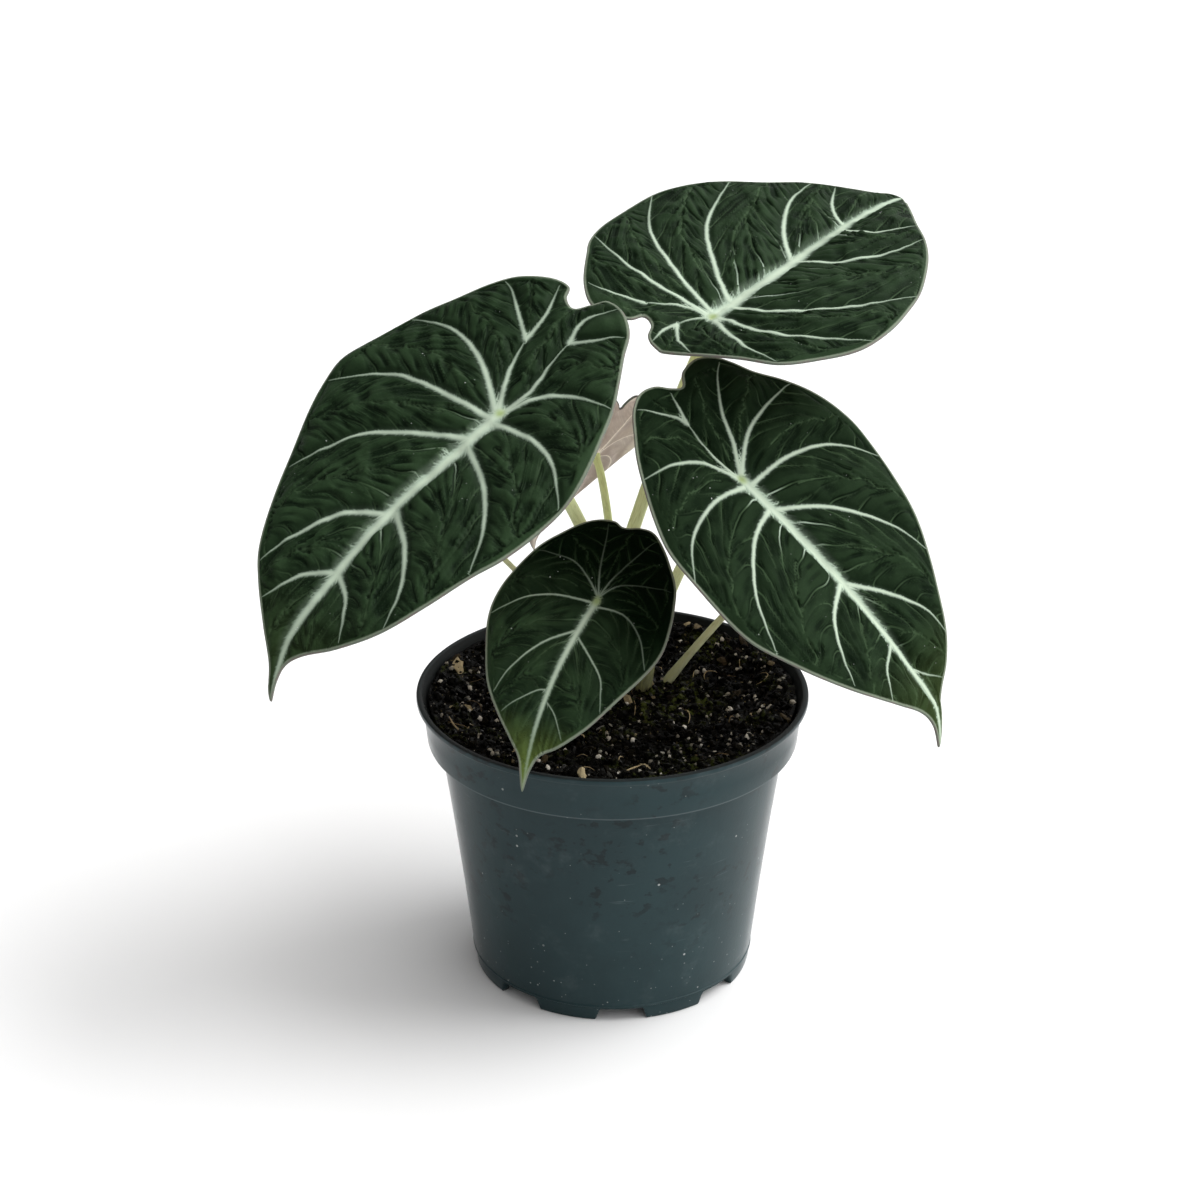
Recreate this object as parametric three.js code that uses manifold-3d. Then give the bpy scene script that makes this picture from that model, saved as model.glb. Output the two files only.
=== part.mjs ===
// A small ninja alocasia in a round nursery pot. Millimetres, +Z up, the viewer stands at -Y.
// Blades are drawn flat in millimetres, with the stalk joint at 0,0 and the tip towards +v,
// and are then bent: the midrib droops, the two halves fold up from it and curl down again.
import * as THREE from 'three';
import { mergeVertices } from 'three/addons/utils/BufferGeometryUtils.js';
import Module from 'manifold-3d';

const manifold = await Module();
manifold.setup();

// Pot
const POT_HEIGHT = 91.8;
const RIM_RADIUS = 60;
const LIP_HEIGHT = 1.9;
const LIP_WIDTH = 1.9;
const BAND_HEIGHT = 14.8;
const BAND_TOP_RADIUS = 58;
const BAND_BOTTOM_RADIUS = 56.9;
const BODY_TOP_RADIUS = 53;
const BASE_RADIUS = 43.1;
const WALL = 1.3;
const FLOOR_BOTTOM = 4.2;
const FLOOR_TOP = 5.8;
const FOOT_WIDTH = 2.3;
const NOTCH_COUNT = 8;
const FIRST_NOTCH_DEGREES = -86.4;
const NOTCH_BOTTOM_WIDTH = 16;
const NOTCH_TOP_WIDTH = 13;
const NOTCH_HEIGHT = 3.9;
const ROUND_SEGMENTS = 60;

// Soil
const SOIL_GAP = 0.42;
const SOIL_EDGE_HEIGHT = 86.1;
const SOIL_MOUND = 1.0;
const SOIL_ROUGHNESS = 1.2;
const SOIL_RINGS = 8;
const CRUMB_COUNT = 34;
const CRUMB_SEED = 7;
const CRUMB_RADIUS = [1.3, 2.5];
const CRUMB_ROOM = 4;

// Crown
const CROWN_CENTRE = [-1, 16];
const CROWN_RADIUS = 3.4;
const CROWN_TOP = 91.5;
const CROWN_BOTTOM = 74;
const CROWN_SIDES = 12;

// Leaves
const SEAT_GAP = 0.3;
const HOLE_CLEARANCE = 0.4;
const STALK_SIDES = 8;
const STALK_STEPS = 13;
const SHEATH_FLARE = 1.25;
const SHEATH_END = 4;
const CURVE_STEPS = 6;
const HALF_WIDTH_SHARE = 0.45;
const TIP_CURL_START = 0.86;
const WAVES_PER_BLADE = 12;

// Blade relief. Shares are of the blade length.
const GROOVE_SHARE = 0.037;
const MARGIN_SHARE = 0.06;
const MIDRIB_WIDTH = 2.2;
const MIDRIB_FLANK_SHARE = 0.024;
const VEIN_WIDTH = 1.6;
const VEIN_RIB_SHARE = 0.6;

// The usual blade outline of the species, right half, as shares of the blade length.
const COMMON_HALF = [
  [0, -0.35], [0.03, -0.385], [0.09, -0.42], [0.16, -0.42], [0.24, -0.385], [0.33, -0.29],
  [0.4, -0.16], [0.44, -0.02], [0.45, 0.12], [0.435, 0.26], [0.39, 0.4], [0.325, 0.53],
  [0.245, 0.65], [0.16, 0.76], [0.085, 0.85], [0.04, 0.91], [0.022, 0.96], [0, 1],
];
// The usual main veins of one half, as shares of the blade length.
const COMMON_VEINS = [
  [[0, 0.03], [0.17, 0.04], [0.32, 0.11], [0.42, 0.22]],
  [[0, 0.13], [0.15, 0.22], [0.26, 0.36], [0.31, 0.5]],
  [[0, 0.42], [0.11, 0.52], [0.18, 0.64], [0.2, 0.72]],
  [[0, 0], [0.13, -0.09], [0.25, -0.13], [0.37, -0.14]],
  [[0, 0], [0.06, -0.12], [0.12, -0.24], [0.17, -0.33]],
];

// One entry for each leaf. joint is where the stalk meets the blade; heading is the compass angle of
// the midrib from +X, pitch how far it points down there, roll how far the right side is raised.
// droop, tipDroop, tipCurl and rearDroop bend the midrib; fold and curl bend the two halves.
// A stalk leaves the soil at base, leans there by lean for each millimetre up, and meets the blade
// square to it or tilted along the midrib; handles say how far it keeps each of the two directions.
const LEAVES = {
  left: {
    joint: [-32.4, -15, 187.5], heading: -137, pitch: 30, roll: 12, length: 112,
    droop: 6, tipDroop: 14, tipCurl: 28, rearDroop: 10, sway: 0.04,
    foldLeft: 14, foldRight: 4, curlLeft: 20, curlRight: 16,
    wave: 1.1, puff: 1.5, rib: 1.4, thickness: 0.8,
    outline: [
      [-3, 107.5], [0.5, 105], [5, 99], [14, 91], [25, 81], [33, 72], [42, 56], [48, 44], [55, 29],
      [59, 16], [61, 6], [58, -6], [52, -18], [44, -28], [37, -38], [31, -44], [22, -48], [15, -48],
      [12.5, -44], [8, -42], [4.5, -46], [1, -50], [-7, -48], [-15, -42], [-20, -34], [-26, -25],
      [-32, -15], [-38, 0], [-41, 12], [-41, 23], [-38, 39], [-34, 49], [-29, 62], [-22, 76],
      [-13, 86], [-4, 92.5], [-0.5, 97], [-1, 102],
    ],
    midrib: [[0, 0], [2, 22], [5, 45], [5, 70], [4, 90], [-3, 107]],
    veins: [
      [[0, 3], [16, 3], [39, 5], [57, 16]], [[2, 12], [16, 18], [33, 28], [45, 46]],
      [[4, 44], [17, 51], [26, 66], [29, 75]], [[5, 67], [14, 73], [20, 84]],
      [[0, 4], [-18, 4], [-29, 8], [-37, 15]], [[1, 14], [-15, 23], [-26, 35], [-32, 47]],
      [[3, 43], [-9, 51], [-18, 62], [-21, 71]], [[5, 67], [-4, 72], [-10, 80]],
      [[2, 0], [17, -11], [33, -17], [50, -16]], [[1, 0], [8, -13], [12, -25]],
      [[12, -25], [20, -31], [28, -37]], [[12, -25], [13, -35], [17, -45]],
      [[0, 0], [-3, -10], [-1, -22], [0, -31]], [[0, -31], [2, -40], [-4, -48]],
      [[0, -31], [-6, -34], [-12, -38]], [[0, 0], [-7, -9], [-16, -14], [-27, -16]],
    ],
    stalk: { base: [6.5, 17], lean: [-0.2, -0.1], handles: [44, 35], tilt: 0.36, radius: [2.3, 1.9], depth: 12 },
  },
  top: {
    joint: [30.3, 35, 199], heading: 52, pitch: -9, roll: -8, length: 126,
    droop: 6, tipDroop: 17, tipCurl: 190, rearDroop: -24, sway: -0.02,
    foldLeft: 14, foldRight: 14, curlLeft: 14, curlRight: 18,
    wave: 1.1, puff: 1.5, rib: 1.4, thickness: 0.8,
    outline: [
      [-3.2, 111], [0.8, 108], [4.2, 103.5], [16.5, 88], [27.5, 76], [36, 64], [44, 48], [48, 35],
      [51, 20], [50, 6], [43, -6], [35, -16], [24, -20], [7, -26], [-2, -26.5], [-7, -24],
      [-10, -18.5], [-14, -17], [-16, -22], [-24, -25.5], [-30, -24], [-38, -16], [-46, -4], [-51, 5],
      [-54, 19], [-54, 38], [-50, 50], [-43, 62], [-34, 73], [-26, 85], [-15, 97], [-9.5, 103.5],
      [-7, 108.5],
    ],
    midrib: [[0, 0], [1, 25], [0, 50], [-2, 80], [-3, 100], [-3.2, 110]],
    veins: [
      [[-1, 10], [-14, 20], [-30, 37], [-40, 62]], [[0, 42], [-12, 54], [-21, 70], [-24, 86]],
      [[-2, 74], [-11, 80], [-17, 90]], [[1, -1], [10, -7], [22, -13], [32, -15]],
      [[2, 0], [20, -2], [36, 3], [50, 11]], [[1, 7], [18, 11], [35, 25], [45, 43]],
      [[0, 42], [14, 48], [24, 63], [26, 76]], [[-1, 71], [10, 73], [18, 85]],
      [[0, 1], [-19, 8], [-40, 21], [-53, 39]], [[0, 0], [-18, -1], [-36, 1], [-50, 6]],
      [[0, -1], [-9, -3], [-18, -12]], [[-18, -12], [-24, -14], [-31, -16]],
      [[0, 0], [-4, -7], [-5, -12]], [[-5, -12], [-1, -17], [9, -24]], [[-5, -12], [-6, -17], [-5, -23]],
    ],
    stalk: { base: [-9, 22.5], lean: [0.32, 0.03], handles: [76, 25], tilt: 1.1, radius: [2.3, 1.9], depth: 12 },
  },
  right: {
    joint: [37.7, -7, 163.5], heading: -24, pitch: 36, roll: -18, length: 100,
    droop: 14, tipDroop: 16, tipCurl: 24, rearDroop: 6, sway: 0.02,
    foldLeft: 12, foldRight: 12, curlLeft: 14, curlRight: 20,
    wave: 0.9, puff: 1.4, rib: 1.3, thickness: 0.8,
    outline: [
      [12, 97], [10, 91], [11.5, 85.5], [18, 78], [28, 66], [35, 55], [40, 44], [43.5, 34], [44.5, 23],
      [43.5, 11], [41, 0], [35.5, -10], [29, -19], [23, -26], [16, -32], [9, -37], [1, -39.5],
      [-4.5, -38], [-8, -34], [-11, -32], [-15, -35], [-22, -35], [-27.5, -31], [-30.5, -26],
      [-33, -20], [-38, -12], [-42, -3], [-44.5, 7], [-45, 15], [-43, 25], [-39, 36], [-35, 45],
      [-29, 55], [-23, 64], [-16, 74], [-9, 81], [-2, 86], [4.5, 92],
    ],
    midrib: [[0, 0], [1, 22], [2, 50], [4, 75], [5, 88], [11, 96]],
    veins: [
      [[0, 3], [-17, 5], [-32, 12], [-42, 24]], [[0, 13], [-14, 24], [-25, 40], [-29, 53]],
      [[2, 42], [-7, 53], [-14, 65], [-15, 74]], [[4, 74], [0, 79], [-3, 82]],
      [[2, 2], [16, -1], [32, 2], [43, 11]], [[2, 12], [16, 15], [31, 26], [39, 40]],
      [[3, 42], [15, 47], [23, 56], [27, 64]], [[4, 65], [13, 69], [19, 76]],
      [[-1, -1], [-13, -8], [-24, -10], [-35, -10]], [[0, 0], [-8, -10], [-13, -18], [-20, -25]],
      [[0, 0], [1, -9], [-2, -23]], [[-2, -23], [-5, -30]], [[-2, -23], [-1, -27], [4, -33]],
      [[1, -1], [6, -11], [15, -17], [27, -20]],
    ],
    stalk: { base: [9.5, 8.5], lean: [0.11, -0.04], handles: [32, 25], tilt: 0.06, radius: [2.1, 1.7], depth: 12 },
  },
  front: {
    joint: [-4.7, -25, 132.6], heading: -116, pitch: 34, roll: 14, length: 61,
    droop: 20, tipDroop: 12, tipCurl: 12, rearDroop: 14, sway: 0.04,
    foldLeft: 8, foldRight: 6, curlLeft: 22, curlRight: 22,
    wave: 0.5, puff: 0.9, rib: 0.9, thickness: 0.8,
    outline: [
      [0.5, 61.5], [3, 56], [5, 52], [10, 47], [16, 41], [21.5, 34], [26, 24], [29, 15], [29.5, 7],
      [28, -2], [24, -12], [18.5, -19], [14, -24], [9.5, -27], [5, -28], [2, -27], [-3, -28.5],
      [-7.5, -28], [-12, -24], [-16, -19], [-20, -13], [-22, -7], [-23.5, 0], [-24, 9], [-21.5, 18],
      [-17, 28], [-12, 38], [-6, 46], [-1.5, 50], [0, 55],
    ],
    midrib: [[0, 0], [2, 15], [3, 30], [2.5, 45], [0.5, 60]],
    veins: [
      [[1, 1], [10, 2], [19, 5], [26, 11]], [[2, 11], [10, 18], [16, 28], [18, 36]],
      [[3, 31], [6, 32], [10, 36]], [[0, 2], [-9, 2], [-16, 7], [-20, 14]],
      [[2, 12], [-5, 18], [-10, 23], [-12, 28]], [[3, 34], [-1, 37], [-4, 41]],
      [[0, -1], [5, -6], [11, -10], [20, -11]], [[0, -1], [3, -10], [5, -20]],
      [[0, -1], [-2, -9], [-7, -21]], [[0, -1], [-5, -7], [-16, -10]],
    ],
    stalk: { base: [0, 6], lean: [-0.05, -0.25], handles: [21, 17], tilt: 0, radius: [1.8, 1.4], depth: 12 },
  },
  back: {
    joint: [-5.6, 32.6, 156.5], heading: 126, pitch: 50, roll: -15, length: 54,
    droop: 6, tipDroop: 5, tipCurl: 10, rearDroop: -26, sway: -0.1,
    foldLeft: 11, foldRight: 15, curlLeft: 22, curlRight: 22,
    wave: 0.5, puff: 0.7, rib: 1, thickness: 0.8,
    widthLeft: 0.8, widthRight: 0.62, rearLength: 1.18,
    stalk: { base: [4, 28], lean: [-0.12, 0.08], handles: [28, 10], tilt: 0.36, radius: [1.5, 1.2], depth: 12 },
  },
  behind_right: {
    joint: [53.4, 28, 127.5], heading: 0, pitch: 35, roll: -10, length: 52,
    droop: 22, tipDroop: 8, tipCurl: 10, rearDroop: 12, sway: 0,
    foldLeft: 8, foldRight: 8, curlLeft: 22, curlRight: 22,
    wave: 0.5, puff: 0.8, rib: 0.8, thickness: 0.8,
    widthLeft: 0.9, widthRight: 0.9, rearLength: 0.9,
    stalk: { base: [16.4, 14.3], lean: [0.72, 0.11], handles: [21, 17], tilt: -0.09, radius: [1.35, 1.1], depth: 7 },
  },
  young: {
    joint: [-52.3, 15, 148.1], heading: -160, pitch: 30, roll: 10, length: 46,
    droop: 20, tipDroop: 8, tipCurl: 10, rearDroop: 12, sway: 0,
    foldLeft: 8, foldRight: 8, curlLeft: 22, curlRight: 22,
    wave: 0.5, puff: 0.7, rib: 0.7, thickness: 0.8,
    widthLeft: 0.9, widthRight: 0.9, rearLength: 0.9,
    stalk: { base: [-8, 12.5], lean: [-0.23, 0.01], handles: [31, 23], tilt: 0.18, radius: [1.1, 0.8], depth: 9 },
  },
};

const COLOURS = {
  pot: 0x3d444b, soil: 0x17120f, crown: 0x5f5a3c, stalk: 0x8f9c58,
  blade: 0x1f3322, youngBlade: 0x33502f,
};

const radians = (degrees) => degrees * Math.PI / 180;
const clamp = (x, low, high) => Math.min(Math.max(x, low), high);
const bell = (distance, width) => Math.exp(-((distance / width) ** 2));

function smooth(low, high, x) {
  const t = clamp((x - low) / (high - low), 0, 1);
  return t * t * (3 - 2 * t);
}

// Repeatable random numbers.
function seeded(seed) {
  let state = seed;
  return () => {
    state = (state * 16807) % 2147483647;
    return state / 2147483647;
  };
}

// A smooth curve through points, as a list of points.
function curveThrough(points, steps, closed) {
  const count = points.length;
  const pick = (i) => (closed ? points[(i + count) % count] : points[clamp(i, 0, count - 1)]);
  const result = [];
  for (let i = 0; i < (closed ? count : count - 1); i += 1) {
    const [a, b, c, d] = [pick(i - 1), pick(i), pick(i + 1), pick(i + 2)];
    for (let k = 0; k < steps; k += 1) {
      const t = k / steps;
      result.push(b.map((_, n) => 0.5 * (2 * b[n] + (c[n] - a[n]) * t
        + (2 * a[n] - 5 * b[n] + 4 * c[n] - d[n]) * t * t
        + (3 * b[n] - a[n] - 3 * c[n] + d[n]) * t * t * t)));
    }
  }
  if (!closed) result.push(points[count - 1]);
  return result;
}

function distanceToPath(point, path) {
  let best = Infinity;
  for (let i = 0; i + 1 < path.length; i += 1) {
    const [ax, ay] = path[i];
    const dx = path[i + 1][0] - ax;
    const dy = path[i + 1][1] - ay;
    const t = clamp(((point[0] - ax) * dx + (point[1] - ay) * dy) / (dx * dx + dy * dy + 1e-9), 0, 1);
    best = Math.min(best, Math.hypot(point[0] - ax - dx * t, point[1] - ay - dy * t));
  }
  return best;
}

function isInside(point, outline) {
  let inside = false;
  for (let i = 0, j = outline.length - 1; i < outline.length; j = i, i += 1) {
    const [ax, ay] = outline[i];
    const [bx, by] = outline[j];
    if ((ay > point[1]) !== (by > point[1])
      && point[0] < (bx - ax) * (point[1] - ay) / (by - ay) + ax) inside = !inside;
  }
  return inside;
}

// Evenly spaced points along a path, ends included.
function spaced(path, spacing) {
  const lengths = [0];
  for (let i = 1; i < path.length; i += 1) {
    lengths.push(lengths[i - 1] + Math.hypot(path[i][0] - path[i - 1][0], path[i][1] - path[i - 1][1]));
  }
  const total = lengths[lengths.length - 1];
  const count = Math.max(2, Math.round(total / spacing));
  const result = [];
  let i = 1;
  for (let k = 0; k <= count; k += 1) {
    const target = total * k / count;
    while (i < path.length - 1 && lengths[i] < target) i += 1;
    const t = (target - lengths[i - 1]) / (lengths[i] - lengths[i - 1]);
    result.push([0, 1].map((n) => path[i - 1][n] + (path[i][n] - path[i - 1][n]) * t));
  }
  return result;
}

// Plane triangulation of points, by adding them one at a time.
function triangulate(points) {
  const far = 5000;
  const all = [...points, [-far, -far], [far, -far], [0, far]];
  const n = points.length;
  const circle = (a, b, c) => {
    const [ax, ay] = all[a];
    const bx = all[b][0] - ax;
    const by = all[b][1] - ay;
    const cx = all[c][0] - ax;
    const cy = all[c][1] - ay;
    const d = 2 * (bx * cy - by * cx);
    const ux = (cy * (bx * bx + by * by) - by * (cx * cx + cy * cy)) / d;
    const uy = (bx * (cx * cx + cy * cy) - cx * (bx * bx + by * by)) / d;
    return { corners: [a, b, c], x: ax + ux, y: ay + uy, r2: ux * ux + uy * uy };
  };
  let triangles = [circle(n, n + 1, n + 2)];
  for (let p = 0; p < n; p += 1) {
    const [x, y] = all[p];
    const edges = new Map();
    const kept = [];
    for (const t of triangles) {
      if ((x - t.x) ** 2 + (y - t.y) ** 2 < t.r2 * (1 - 1e-12)) {
        for (let k = 0; k < 3; k += 1) {
          const from = t.corners[k];
          const to = t.corners[(k + 1) % 3];
          const twin = `${to},${from}`;
          if (edges.has(twin)) edges.delete(twin);
          else edges.set(`${from},${to}`, [from, to]);
        }
      } else kept.push(t);
    }
    for (const [from, to] of edges.values()) kept.push(circle(from, to, p));
    triangles = kept;
  }
  return triangles.map((t) => t.corners).filter((t) => t.every((corner) => corner < n));
}

// The flat drawing of a blade: outline, midrib and veins.
function drawBlade(leaf) {
  const { length } = leaf;
  let outline = leaf.outline;
  let midrib = leaf.midrib;
  let veins = leaf.veins;
  if (!outline) {
    const bow = (v) => leaf.sway * length * 4 * clamp(v, 0, 1) * (1 - clamp(v, 0, 1));
    const place = (side) => ([u, v]) => {
      const rear = v < 0 ? leaf.rearLength : 1;
      const width = side > 0 ? leaf.widthRight : leaf.widthLeft;
      return [side * u * width * length + bow(v), v * rear * length];
    };
    outline = [
      ...COMMON_HALF.slice(1).reverse().map(place(1)),
      ...COMMON_HALF.slice(0, -1).map(place(-1)),
    ];
    midrib = [0, 0.25, 0.5, 0.75, 0.98].map((v) => [bow(v), v * length]);
    veins = [1, -1].flatMap((side) => COMMON_VEINS.map((vein) => vein.map(place(side))));
  }
  return {
    edge: curveThrough(outline, CURVE_STEPS, true),
    midrib: curveThrough(midrib, CURVE_STEPS, false),
    veins: veins.map((vein) => curveThrough(vein, CURVE_STEPS, false)),
  };
}

// Places a flat blade point in space; lift is the height above the blade's middle face.
function makeBender(leaf) {
  const heading = radians(leaf.heading);
  const pitch = radians(leaf.pitch);
  const roll = radians(leaf.roll);
  const joint = new THREE.Vector3(...leaf.joint);
  const along = new THREE.Vector3(
    Math.cos(heading) * Math.cos(pitch), Math.sin(heading) * Math.cos(pitch), -Math.sin(pitch));
  const levelSide = new THREE.Vector3(Math.sin(heading), -Math.cos(heading), 0);
  const levelUp = new THREE.Vector3().crossVectors(levelSide, along);
  const side = levelSide.clone().multiplyScalar(Math.cos(roll)).addScaledVector(levelUp, Math.sin(roll));
  const up = levelUp.clone().multiplyScalar(Math.cos(roll)).addScaledVector(levelSide, -Math.sin(roll));
  const { length } = leaf;
  const step = 0.005;
  const slope = (t) => (t > 0
    ? -(radians(leaf.droop) * t + radians(leaf.tipDroop) * t ** 4
      + radians(leaf.tipCurl) * clamp((t - TIP_CURL_START) / (1 - TIP_CURL_START), 0, 2) ** 2)
    : -radians(leaf.rearDroop) * t);
  const spine = (t) => {
    const count = Math.max(1, Math.ceil(Math.abs(t) / step));
    const dt = t / count;
    let y = 0;
    let z = 0;
    for (let k = 0; k < count; k += 1) {
      const angle = slope((k + 0.5) * dt);
      y += Math.cos(angle) * dt;
      z += Math.sin(angle) * dt;
    }
    return [y * length, z * length, slope(t)];
  };
  const halfWidth = HALF_WIDTH_SHARE * length;
  const middle = (u, v) => {
    const t = v / length;
    const [y, z, angle] = spine(t);
    const inside = clamp(t, 0, 1);
    const bow = leaf.sway * length * 4 * inside * (1 - inside);
    const right = u >= bow;
    const reach = Math.abs(u - bow);
    const fold = radians(right ? leaf.foldRight : leaf.foldLeft);
    const curl = radians(right ? leaf.curlRight : leaf.curlLeft);
    const bend = fold - curl * reach / halfWidth;
    const across = (halfWidth / curl) * (Math.sin(fold) - Math.sin(bend));
    const wave = leaf.wave * (reach / halfWidth) ** 3 * Math.sin(v * WAVES_PER_BLADE / length + (right ? 0 : 2));
    const rise = (halfWidth / curl) * (Math.cos(bend) - Math.cos(fold)) + wave;
    return joint.clone()
      .addScaledVector(side, bow + (right ? across : -across))
      .addScaledVector(along, y - rise * Math.sin(angle))
      .addScaledVector(up, z + rise * Math.cos(angle));
  };
  const normal = (u, v) => {
    const d = 0.2;
    const du = middle(u + d, v).sub(middle(u - d, v));
    const dv = middle(u, v + d).sub(middle(u, v - d));
    return du.cross(dv).normalize();
  };
  return (u, v, lift) => middle(u, v).addScaledVector(normal(u, v), lift);
}

// Heights of the two faces: the panels between the veins puff up, ribs stand under the veins.
function makeRelief(leaf, drawing) {
  const closedEdge = [...drawing.edge, drawing.edge[0]];
  return (point) => {
    const toMidrib = distanceToPath(point, drawing.midrib);
    const toVein = Math.min(toMidrib, ...drawing.veins.map((vein) => distanceToPath(point, vein)));
    const inner = smooth(0, leaf.length * MARGIN_SHARE, distanceToPath(point, closedEdge));
    const panel = leaf.puff * (1 - bell(toVein, leaf.length * GROOVE_SHARE)) * inner;
    const ribs = leaf.rib * inner
      * Math.max(bell(toMidrib, MIDRIB_WIDTH), VEIN_RIB_SHARE * bell(toVein, VEIN_WIDTH));
    return { top: panel + leaf.thickness / 2, bottom: panel - leaf.thickness / 2 - ribs };
  };
}

// A path's points moved sideways, to its left when the distance is positive.
function beside(path, distance) {
  return path.map(([x, y], i) => {
    const [ax, ay] = path[Math.max(i - 1, 0)];
    const [bx, by] = path[Math.min(i + 1, path.length - 1)];
    const length = Math.hypot(bx - ax, by - ay);
    return [x - distance * (by - ay) / length, y + distance * (bx - ax) / length];
  });
}

// Points of the flat blade, split until every outline edge is an edge of the triangles.
function meshDrawing(leaf, drawing) {
  const edgeSpacing = leaf.length * 0.045 + 0.8;
  const veinSpacing = leaf.length * 0.042 + 1;
  const panelSpacing = leaf.length * 0.058 + 1;
  let ring = spaced([...drawing.edge, drawing.edge[0]], edgeSpacing).slice(0, -1);
  const inner = [];
  const addInner = (point, room, edgeRoom) => {
    if (!isInside(point, ring)) return;
    if (distanceToPath(point, [...ring, ring[0]]) < edgeRoom) return;
    if (inner.every((other) => Math.hypot(other[0] - point[0], other[1] - point[1]) > room)) inner.push(point);
  };
  const midrib = spaced(drawing.midrib, veinSpacing);
  const flank = leaf.length * MIDRIB_FLANK_SHARE;
  [0, flank, -flank].forEach((distance) => beside(midrib, distance)
    .forEach((point) => addInner(point, flank * 0.8, 1)));
  drawing.veins.forEach((vein) => spaced(vein, veinSpacing)
    .forEach((point) => addInner(point, veinSpacing * 0.55, veinSpacing * 0.45)));
  for (let row = -12; row < 24; row += 1) {
    for (let column = -12; column <= 12; column += 1) {
      const shift = row % 2 === 0 ? 0.25 : -0.25;
      addInner([(column + shift) * panelSpacing, row * panelSpacing * 0.87],
        panelSpacing * 0.62, panelSpacing * 0.5);
    }
  }
  for (let pass = 0; pass < 8; pass += 1) {
    const points = [...ring, ...inner];
    const triangles = triangulate(points).filter((t) => isInside(
      [0, 1].map((n) => (points[t[0]][n] + points[t[1]][n] + points[t[2]][n]) / 3), ring));
    const used = new Set(triangles.flatMap(([a, b, c]) => [`${a},${b}`, `${b},${c}`, `${c},${a}`]));
    const next = [];
    ring.forEach((point, i) => {
      const j = (i + 1) % ring.length;
      next.push(point);
      if (!used.has(`${i},${j}`) && !used.has(`${j},${i}`)) {
        next.push([0, 1].map((n) => (point[n] + ring[j][n]) / 2));
      }
    });
    if (next.length === ring.length) return { points, triangles, ringCount: ring.length };
    ring = next;
  }
  throw new Error('a blade outline could not be split into triangles');
}

function geometryOf(positions, faces) {
  const geometry = new THREE.BufferGeometry();
  geometry.setAttribute('position', new THREE.Float32BufferAttribute(positions, 3));
  geometry.setIndex(faces);
  return geometry;
}

function bladeGeometry(leaf) {
  const drawing = drawBlade(leaf);
  const bend = makeBender(leaf);
  const relief = makeRelief(leaf, drawing);
  const { points, triangles, ringCount } = meshDrawing(leaf, drawing);
  const heights = points.map(relief);
  const tops = points.map(([u, v], i) => bend(u, v, heights[i].top));
  const bottoms = points.map(([u, v], i) => bend(u, v, heights[i].bottom));
  const positions = [...tops, ...bottoms].flatMap((p) => [p.x, p.y, p.z]);
  const faces = [];
  const below = points.length;
  for (const [a, b, c] of triangles) {
    const [pa, pb, pc] = [points[a], points[b], points[c]];
    const turn = (pb[0] - pa[0]) * (pc[1] - pa[1]) - (pb[1] - pa[1]) * (pc[0] - pa[0]);
    const [i, j, k] = turn > 0 ? [a, b, c] : [a, c, b];
    faces.push(i, j, k, below + i, below + k, below + j);
  }
  const turnOfRing = points.slice(0, ringCount).reduce((sum, p, i) => {
    const q = points[(i + 1) % ringCount];
    return sum + p[0] * q[1] - q[0] * p[1];
  }, 0);
  for (let i = 0; i < ringCount; i += 1) {
    const next = (i + 1) % ringCount;
    const [a, b] = turnOfRing > 0 ? [i, next] : [next, i];
    faces.push(a, below + a, below + b, a, below + b, b);
  }
  return geometryOf(positions, faces);
}

// The path of a stalk, from its buried end to its seat under the blade.
function stalkPath(leaf) {
  const { stalk } = leaf;
  const drawing = drawBlade(leaf);
  const seat = makeBender(leaf)(0, 0, makeRelief(leaf, drawing)([0, 0]).bottom - SEAT_GAP);
  const seatNormal = makeBender(leaf)(0, 0, 1).sub(makeBender(leaf)(0, 0, 0));
  const base = new THREE.Vector3(stalk.base[0], stalk.base[1], SOIL_EDGE_HEIGHT);
  const lean = new THREE.Vector3(stalk.lean[0], stalk.lean[1], 1).normalize();
  const buried = base.clone().addScaledVector(lean, -stalk.depth);
  const midribWay = makeBender(leaf)(0, 1, 0).sub(makeBender(leaf)(0, -1, 0)).normalize();
  const arrival = seatNormal.clone().addScaledVector(midribWay, stalk.tilt).normalize();
  const curve = new THREE.CubicBezierCurve3(
    base,
    base.clone().addScaledVector(lean, stalk.handles[0]),
    seat.clone().addScaledVector(arrival, -stalk.handles[1]),
    seat);
  return { buried, base, lean, points: [buried, ...curve.getPoints(STALK_STEPS)], seat, seatNormal };
}

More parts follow.
